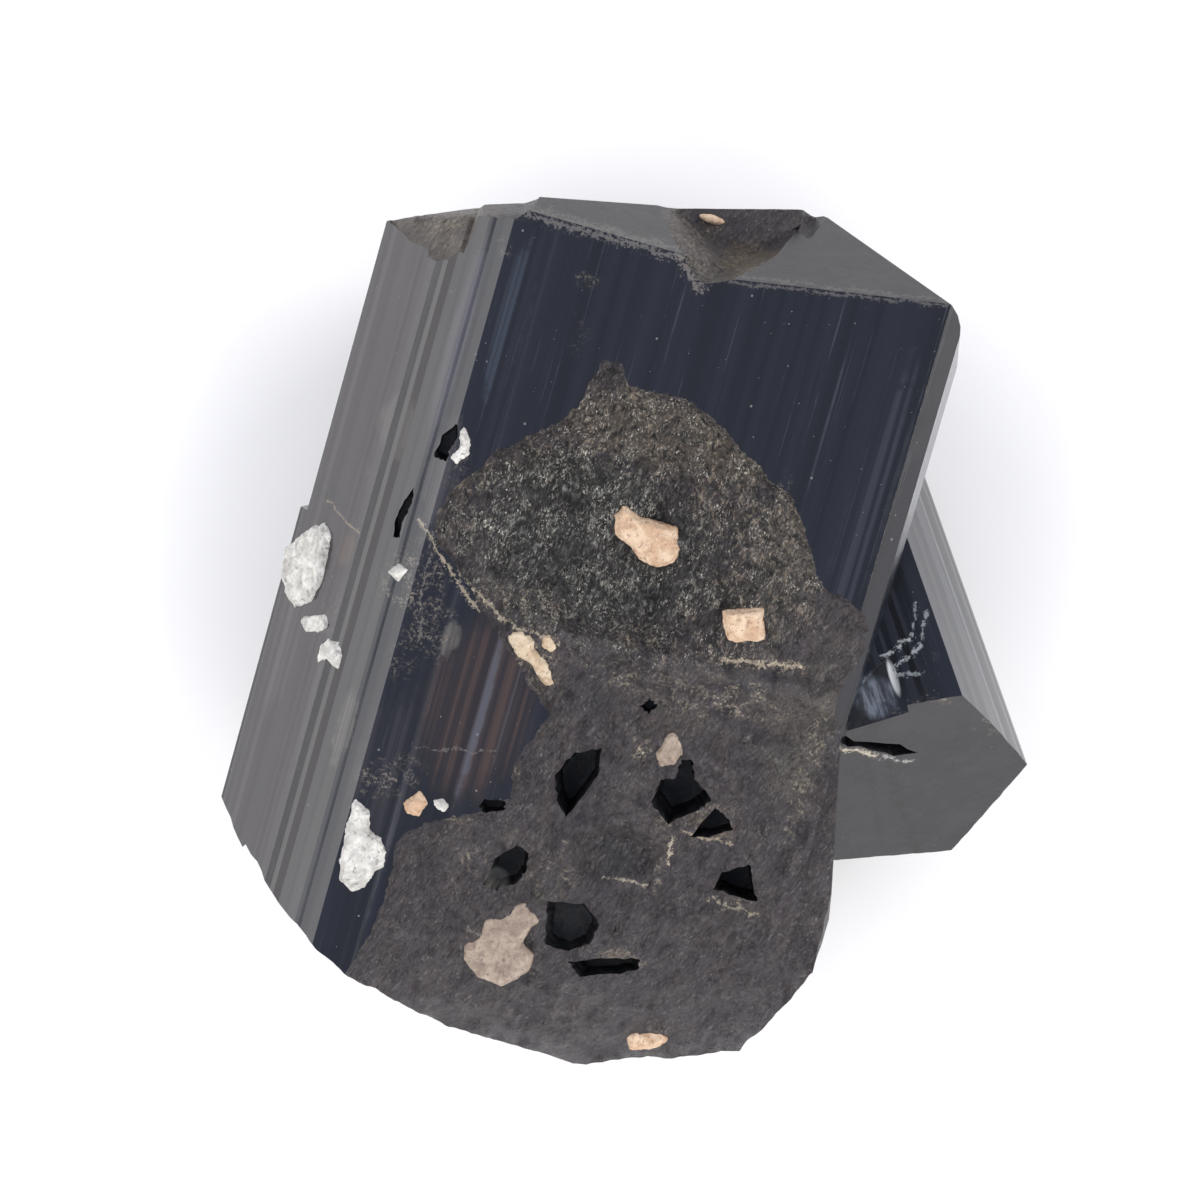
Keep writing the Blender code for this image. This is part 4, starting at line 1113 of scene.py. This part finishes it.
END_VEINS = [
    ((26.2, -9.3), (31.5, -17.5), 0.9, 0.3, (0.0020, 0.0018, 0.0022), 0.9),
    ((24.0, -8.6), (28.0, -17.0), 0.5, 0.3, (0.0025, 0.0022, 0.0026), 0.8),
    ((24.5, -3.0), (24.0, -6.4), 0.7, 0.2, (0.0025, 0.0022, 0.0026), 0.8),
    ((20.6, -8.7), (25.0, -8.5), 0.35, 0.4, (0.45, 0.40, 0.30), 0.9),
    ((25.4, -8.7), (28.0, -8.5), 0.30, 0.5, (0.30, 0.29, 0.27), 0.8),
    ((-17.2, 29.6), (-3.4, 29.6), 0.40, 0.6, (0.090, 0.084, 0.076), 0.6),
    ((0.6, 28.6), (19.3, 31.6), 0.20, 0.4, (0.090, 0.084, 0.076), 0.5),
]
BREAK_VEINS = [
    ((-14.0, -1.8), (-8.5, -4.8), 0.35, 0.7, (0.36, 0.31, 0.23), 0.9),
    ((-8.5, -4.8), (-4.0, -5.2), 0.30, 0.8, (0.36, 0.31, 0.23), 0.8),
    ((9.5, -2.7), (16.0, -1.4), 0.42, 0.6, (0.44, 0.37, 0.27), 0.9),
    ((-5.6, 32.4), (0.2, 27.7), 1.6, 0.5, (0.12, 0.105, 0.088), 0.8),
    ((9.6, -19.3), (10.0, -21.8), 0.34, 0.7, (0.42, 0.36, 0.27), 0.85),
    ((5.0, -24.2), (8.8, -24.0), 0.26, 0.8, (0.36, 0.31, 0.25), 0.75),
    ((10.2, -18.6), (14.6, -18.4), 0.22, 0.8, (0.34, 0.28, 0.20), 0.75),
    ((14.2, -23.9), (18.6, -24.2), 0.26, 0.8, (0.32, 0.29, 0.21), 0.8),
    ((-5.2, -31.5), (2.0, -34.5), 0.20, 0.9, (0.20, 0.17, 0.15), 0.6),
]
# Loose crumbs: middle (u, a), reach, strength.
FACE_CRUMBS = [
    ((-10.0, 25.0), (1.6, 0.9), 0.5), ((-9.5, 20.5), (1.3, 2.0), 0.2), ((-17.6, 25.9), (1.0, 1.0), 0.8),
    ((-18.6, -4.4), (2.6, 2.4), 1.0), ((-16.0, -20.5), (2.2, 2.0), 1.0),
    ((-16.5, -9.5), (1.6, 3.5), 0.6), ((-14.0, -19.5), (2.0, 2.5), 0.8), ((-16.3, 6.5), (1.2, 4.0), 0.5),
    ((10.3, 13.5), (0.9, 1.3), 0.3), ((-17.0, -3.0), (3.0, 4.0), 1.0), ((-14.5, -7.0), (2.2, 3.4), 0.9),
]
LEFT_CRUMBS = [
    ((-26.0, -4.5), (2.0, 2.0), 0.35), ((-23.4, -9.0), (2.0, 5.0), 0.45),
    ((-23.5, 3.5), (1.6, 1.6), 0.3),
]
SIDE_CRUMBS = [
    ((3.2, -2.0), (4.5, 0.7), 0.9), ((5.6, -6.0), (0.5, 0.9), 0.6),
]
END_CRUMBS = [
    ((27.6, -1.9), (3.6, 0.7), 1.0), ((33.6, -3.4), (2.4, 1.3), 0.8), ((22.0, -3.4), (1.6, 0.6), 0.8),
    ((20.8, -6.3), (0.9, 0.9), 0.9), ((0.5, 28.2), (3.0, 0.8), 0.8), ((10.0, 27.6), (6.0, 0.5), 0.5),
    ((-9.0, 29.6), (5.0, 0.7), 0.6),
]
BREAK_CRUMBS = [
    ((-5.3, -17.0), (1.1, 1.7), 1.0), ((-8.9, -21.6), (2.2, 1.0), 1.0), ((-5.6, -7.4), (2.8, 2.8), 0.9),
    ((2.0, -2.8), (2.6, 1.4), 0.9), ((4.9, -12.0), (1.3, 1.5), 1.0), ((0.9, -22.6), (0.7, 1.6), 0.9),
    ((9.4, -23.0), (0.8, 2.0), 1.0), ((-7.6, -2.6), (5.0, 1.7), 0.8), ((13.5, -1.8), (4.0, 1.0), 0.8),
    ((-1.0, -29.4), (1.6, 1.4), 0.5), ((-4.0, 16.8), (2.2, 2.0), 0.6), ((19.0, -10.0), (1.4, 9.0), 0.6),
    ((3.5, 29.4), (3.6, 1.6), 0.9), ((-24.0, 26.6), (5.6, 4.0), 0.6), ((-3.0, 30.0), (3.2, 3.2), 0.6),
    ((6.0, -6.5), (9.0, 2.6), 0.5), ((12.0, 9.0), (4.5, 5.0), 0.5), ((16.5, -23.9), (2.6, 1.0), 0.9),
    ((-6.0, -25.6), (1.8, 1.6), 0.8), ((8.6, -31.0), (3.0, 1.2), 0.7), ((10.6, -16.8), (5.0, 3.4), 0.5),
    ((0.6, -25.4), (3.2, 2.4), 0.4), ((12.5, -5.5), (5.0, 2.6), 0.6),
]
# Minerals: main colour, pale colour and stain, stretch of the cleavage, roughness, depth of the lines.
MINERALS = {
    "feldspar_pink": (((0.49, 0.32, 0.2), (0.64, 0.49, 0.345), (0.26, 0.11, 0.06)),
                      (1.0, 1.0, 1.0), 0.5, 0.16),
    "feldspar_tan": (((0.47, 0.35, 0.23), (0.6, 0.49, 0.35), (0.2, 0.12, 0.07)),
                     (1.0, 1.0, 1.0), 0.55, 0.14),
    "feldspar_silky": (((0.215, 0.16, 0.122), (0.34, 0.27, 0.205), (0.09, 0.062, 0.05)),
                       (1.0, 0.25, 1.0), 0.3, 0.1),
    "mica_white": (((0.44, 0.425, 0.39), (0.66, 0.645, 0.6), (0.13, 0.125, 0.11)),
                   (1.0, 0.5, 1.0), 0.35, 0.2),
}


# Grains and stage

# Each grain: its node, mineral, growth past the CAD grain, lumpiness and lump size in mm.
GRAINS = [
    ("feldspar_1", "feldspar_pink", 0.25, 0.45, 0.9), ("feldspar_2", "feldspar_pink", 0.28, 0.25, 0.7),
    ("feldspar_3", "feldspar_tan", 0.25, 0.35, 0.6), ("feldspar_4", "feldspar_tan", 0.25, 0.3, 0.6),
    ("feldspar_5", "feldspar_pink", 0.25, 0.3, 0.6), ("feldspar_6", "feldspar_silky", 0.3, 0.5, 1.6),
    ("feldspar_7", "feldspar_pink", 0.3, 0.4, 0.9), ("feldspar_8", "feldspar_silky", 0.25, 0.4, 0.7),
    ("feldspar_9", "feldspar_pink", -0.3, 0.3, 0.7), ("mica_1", "mica_white", 0.28, 0.5, 0.7),
    ("mica_2", "mica_white", 0.2, 0.3, 0.5), ("mica_3", "mica_white", 0.2, 0.3, 0.5),
    ("mica_4", "mica_white", 0.2, 0.25, 0.5), ("mica_5", "mica_white", 0.28, 0.6, 1.0),
    ("mica_6", "mica_white", 0.25, 0.45, 0.8), ("mica_7", "mica_white", 0.25, 0.45, 0.7),
]


def grain_piece(node, mineral, growth, lumps, lump_size):
    """A grain's finished shape: the CAD grain filled out to its socket, rounded and made uneven."""
    mesh = frame["nodes"][node].data.copy()
    piece = bpy.data.objects.new(node.replace("_", "_grain_"), mesh)
    bpy.context.scene.collection.objects.link(piece)
    edit(piece)
    bpy.ops.mesh.remove_doubles(threshold=1e-6)
    close()
    modify(piece, "DISPLACE", strength=growth * MM, mid_level=0.0)
    modify(piece, "REMESH", mode="VOXEL", voxel_size=0.13 * MM)
    for share, size, kind in ((0.7, lump_size, "CLOUDS"), (0.35, lump_size * 0.35, "CLOUDS")):
        texture = bpy.data.textures.new(node + "_lumps", kind)
        texture.noise_scale = size * MM
        modify(piece, "DISPLACE", texture=texture, strength=lumps * share * MM, mid_level=0.5,
               texture_coords="LOCAL")
    pick(piece)
    bpy.ops.object.shade_smooth()
    piece.data.materials.clear()
    piece.data.materials.append(bpy.data.materials[mineral])
    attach(piece, "root")
    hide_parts(node)
    return piece


# Lights: name, place, aim, size, power, colour.
LIGHTS = [
    ("left_softbox", (-1.20, 0.15, 0.95), (0, 0, 0.02), (1.9, 1.9), 22.0, (1.0, 0.98, 0.96)),
    ("right_softbox", (1.20, 0.25, 0.85), (0, 0, 0.02), (1.7, 1.7), 20.0, (1.0, 0.98, 0.96)),
    ("near_softbox", (0.15, -1.30, 0.75), (0, 0, 0.02), (1.9, 1.2), 15.0, (1.0, 0.99, 0.98)),
]


def area_light(name, place, aim, size, power, colour):
    """A soft rectangular light turned to a point."""
    deselect()
    turn = (Vector(aim) - Vector(place)).to_track_quat("-Z", "Y").to_euler()
    bpy.ops.object.light_add(type="AREA", location=place, rotation=turn)
    light = bpy.context.object
    light.name = name
    light.data.shape = "RECTANGLE"
    light.data.size, light.data.size_y = size
    light.data.energy = power
    light.data.color = colour


def floor_material(settings):
    """Plain pale paper."""
    material = bpy.data.materials.new("pale_floor")
    material.use_nodes = True
    tree = Tree(material.node_tree)
    shader = material.node_tree.nodes["Principled BSDF"]
    texture = tree.add("TexCoord")
    tone = tree.noise(texture.outputs["Object"], 60.0, 3.0, 0.5)
    shade = tuple(v * 0.985 for v in settings.floor_colour)
    tree.put(shader.inputs["Base Color"], tree.mix(tone, tuple(settings.floor_colour), shade))
    shader.inputs["Roughness"].default_value = 0.9
    return material


def studio_world(settings):
    """Sky light: dim blue overhead, brighter toward the horizon."""
    world = bpy.data.worlds.new("studio")
    bpy.context.scene.world = world
    world.use_nodes = True
    tree = Tree(world.node_tree)
    background = world.node_tree.nodes["Background"]
    texture = tree.add("TexCoord")
    parts = tree.add("SeparateXYZ")
    tree.put(parts.inputs[0], texture.outputs["Generated"])
    backward = tree.times(tree.maths("MAXIMUM", parts.outputs[1], 0.0), 0.8)
    rise = tree.span(tree.maths("ADD", parts.outputs[2], backward), 0.52, 0.93)
    tree.put(background.inputs["Color"], tree.mix(rise, tuple(settings.horizon_colour),
                                                  tuple(settings.zenith_colour)))
    background.inputs["Strength"].default_value = 1.12


class CrystalSettings(bpy.types.PropertyGroup):
    face_colour: bpy.props.FloatVectorProperty(
        name="Face colour", description="Prism faces between the bands", subtype="COLOR",
        default=(0.0045, 0.0050, 0.0070), min=0.0, max=1.0)
    band_colour: bpy.props.FloatVectorProperty(
        name="Band colour", description="Broad lengthwise bands of the prism faces", subtype="COLOR",
        default=(0.0085, 0.0095, 0.0135), min=0.0, max=1.0)
    left_colour: bpy.props.FloatVectorProperty(
        name="Left face colour", description="Left face between the bands", subtype="COLOR",
        default=(0.0100, 0.0062, 0.0075), min=0.0, max=1.0)
    left_band: bpy.props.FloatVectorProperty(
        name="Left face bands", description="Broad lengthwise bands of the left face", subtype="COLOR",
        default=(0.020, 0.0155, 0.0175), min=0.0, max=1.0)
    face_roughness: bpy.props.FloatProperty(
        name="Face roughness", description="Roughness of the prism faces", default=0.17, min=0.0, max=1.0)
    break_colour: bpy.props.FloatVectorProperty(
        name="Break colour", description="Broken tourmaline", subtype="COLOR",
        default=(0.0145, 0.0110, 0.0180), min=0.0, max=1.0)
    break_tint: bpy.props.FloatVectorProperty(
        name="Break tint", description="Browner patches of the broken tourmaline", subtype="COLOR",
        default=(0.026, 0.0195, 0.0220), min=0.0, max=1.0)


class StageSettings(bpy.types.PropertyGroup):
    floor_colour: bpy.props.FloatVectorProperty(
        name="Floor colour", description="The paper under the crystals", subtype="COLOR",
        default=(0.94, 0.93, 0.91), min=0.0, max=1.0)
    zenith_colour: bpy.props.FloatVectorProperty(
        name="Zenith colour", description="Sky light from straight above", subtype="COLOR",
        default=(0.29, 0.33, 0.45), min=0.0, max=4.0)
    horizon_colour: bpy.props.FloatVectorProperty(
        name="Horizon colour", description="Sky light from the sides", subtype="COLOR",
        default=(0.96, 0.95, 0.97), min=0.0, max=4.0)
    camera_height: bpy.props.FloatProperty(
        name="Camera height", description="Camera above the table", default=0.41, min=0.1,
        subtype="DISTANCE", unit="LENGTH")
    lens: bpy.props.FloatProperty(
        name="Lens", description="Focal length in millimetres", default=134.1, min=10.0)


class TOURMALINE_OT_materials(bpy.types.Operator):
    """Make the materials of the crystals and grains"""
    bl_idname = "tourmaline.materials"
    bl_label = "Materials"

    def execute(self, context):
        settings = context.scene.tourmaline_crystal
        for build in (growth_lines_group, specks_group, zone_group, vein_group, grain_group):
            build()
        tones = (settings.face_colour, settings.band_colour, settings.face_roughness, 0.5)
        face_material("tourmaline_face", TO_CRYSTAL, FRONT, tones, FACE_ZONES, FACE_VEINS, FACE_CRUMBS,
                      0.014)
        face_material("tourmaline_side_face", Matrix((SIDE_ACROSS, SIDE_ALONG, -SIDE_OUT)), SIDE_END, tones,
                      SIDE_PAINTED_SHEEN, SIDE_VEINS, SIDE_CRUMBS, 0.02)
        tones = (settings.left_colour, settings.left_band, settings.face_roughness, 0.44)
        face_material("tourmaline_left_face", TO_CRYSTAL, FRONT, tones, LEFT_ZONES, LEFT_VEINS, LEFT_CRUMBS,
                      0.010)
        end_material()
        edge_material(settings)
        break_material(settings)
        pit_material()
        for name, values in MINERALS.items():
            mineral_material(name, *values)
        return {"FINISHED"}


class TOURMALINE_OT_crystals(bpy.types.Operator):
    """Build both tourmaline crystals as one solid"""
    bl_idname = "tourmaline.crystals"
    bl_label = "Tourmaline crystals"

    def execute(self, context):
        body = tourmaline_crystals()
        finish_shading(body)
        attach(body, "root")
        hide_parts("tourmaline")
        return {"FINISHED"}


class TOURMALINE_OT_grains(bpy.types.Operator):
    """Set the feldspar and mica grains"""
    bl_idname = "tourmaline.grains"
    bl_label = "Grains"

    def execute(self, context):
        for grain in GRAINS:
            grain_piece(*grain)
        return {"FINISHED"}


class TOURMALINE_OT_stage(bpy.types.Operator):
    """Set the floor, lights and camera"""
    bl_idname = "tourmaline.stage"
    bl_label = "Stage"

    def execute(self, context):
        settings = context.scene.tourmaline_stage
        deselect()
        bpy.ops.mesh.primitive_plane_add(size=3.0)
        floor = context.object
        floor.name = "paper"
        floor.data.materials.append(floor_material(settings))
        studio_world(settings)
        for light in LIGHTS:
            area_light(*light)
        deselect()
        place = (CENTRE_SHIFT.x * MM, CENTRE_SHIFT.y * MM, settings.camera_height)
        bpy.ops.object.camera_add(location=place, rotation=(0, 0, 0))
        camera = context.object
        camera.data.sensor_width = 36.0
        camera.data.lens = settings.lens
        camera.data.clip_start = 0.01
        context.scene.camera = camera
        context.scene.view_settings.view_transform = "Standard"
        return {"FINISHED"}


class TOURMALINE_PT_panel(bpy.types.Panel):
    bl_label = "Tourmaline crystal"
    bl_idname = "TOURMALINE_PT_panel"
    bl_space_type = "VIEW_3D"
    bl_region_type = "UI"
    bl_category = "Tourmaline"

    def draw(self, context):
        layout = self.layout
        for operator in OPERATORS:
            layout.operator(operator.bl_idname)
        for settings in (context.scene.tourmaline_crystal, context.scene.tourmaline_stage):
            box = layout.box()
            for name in settings.__annotations__:
                box.prop(settings, name)


OPERATORS = (TOURMALINE_OT_materials, TOURMALINE_OT_crystals, TOURMALINE_OT_grains, TOURMALINE_OT_stage)
CLASSES = (CrystalSettings, StageSettings) + OPERATORS + (TOURMALINE_PT_panel,)


def register():
    for made in CLASSES:
        bpy.utils.register_class(made)
    bpy.types.Scene.tourmaline_crystal = bpy.props.PointerProperty(type=CrystalSettings)
    bpy.types.Scene.tourmaline_stage = bpy.props.PointerProperty(type=StageSettings)


def unregister():
    del bpy.types.Scene.tourmaline_stage
    del bpy.types.Scene.tourmaline_crystal
    for made in reversed(CLASSES):
        bpy.utils.unregister_class(made)


def main():
    register()
    bpy.ops.tourmaline.materials()
    bpy.ops.tourmaline.crystals()
    bpy.ops.tourmaline.grains()
    bpy.ops.tourmaline.stage()
    deselect()
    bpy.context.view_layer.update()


if __name__ == "__main__":
    main()
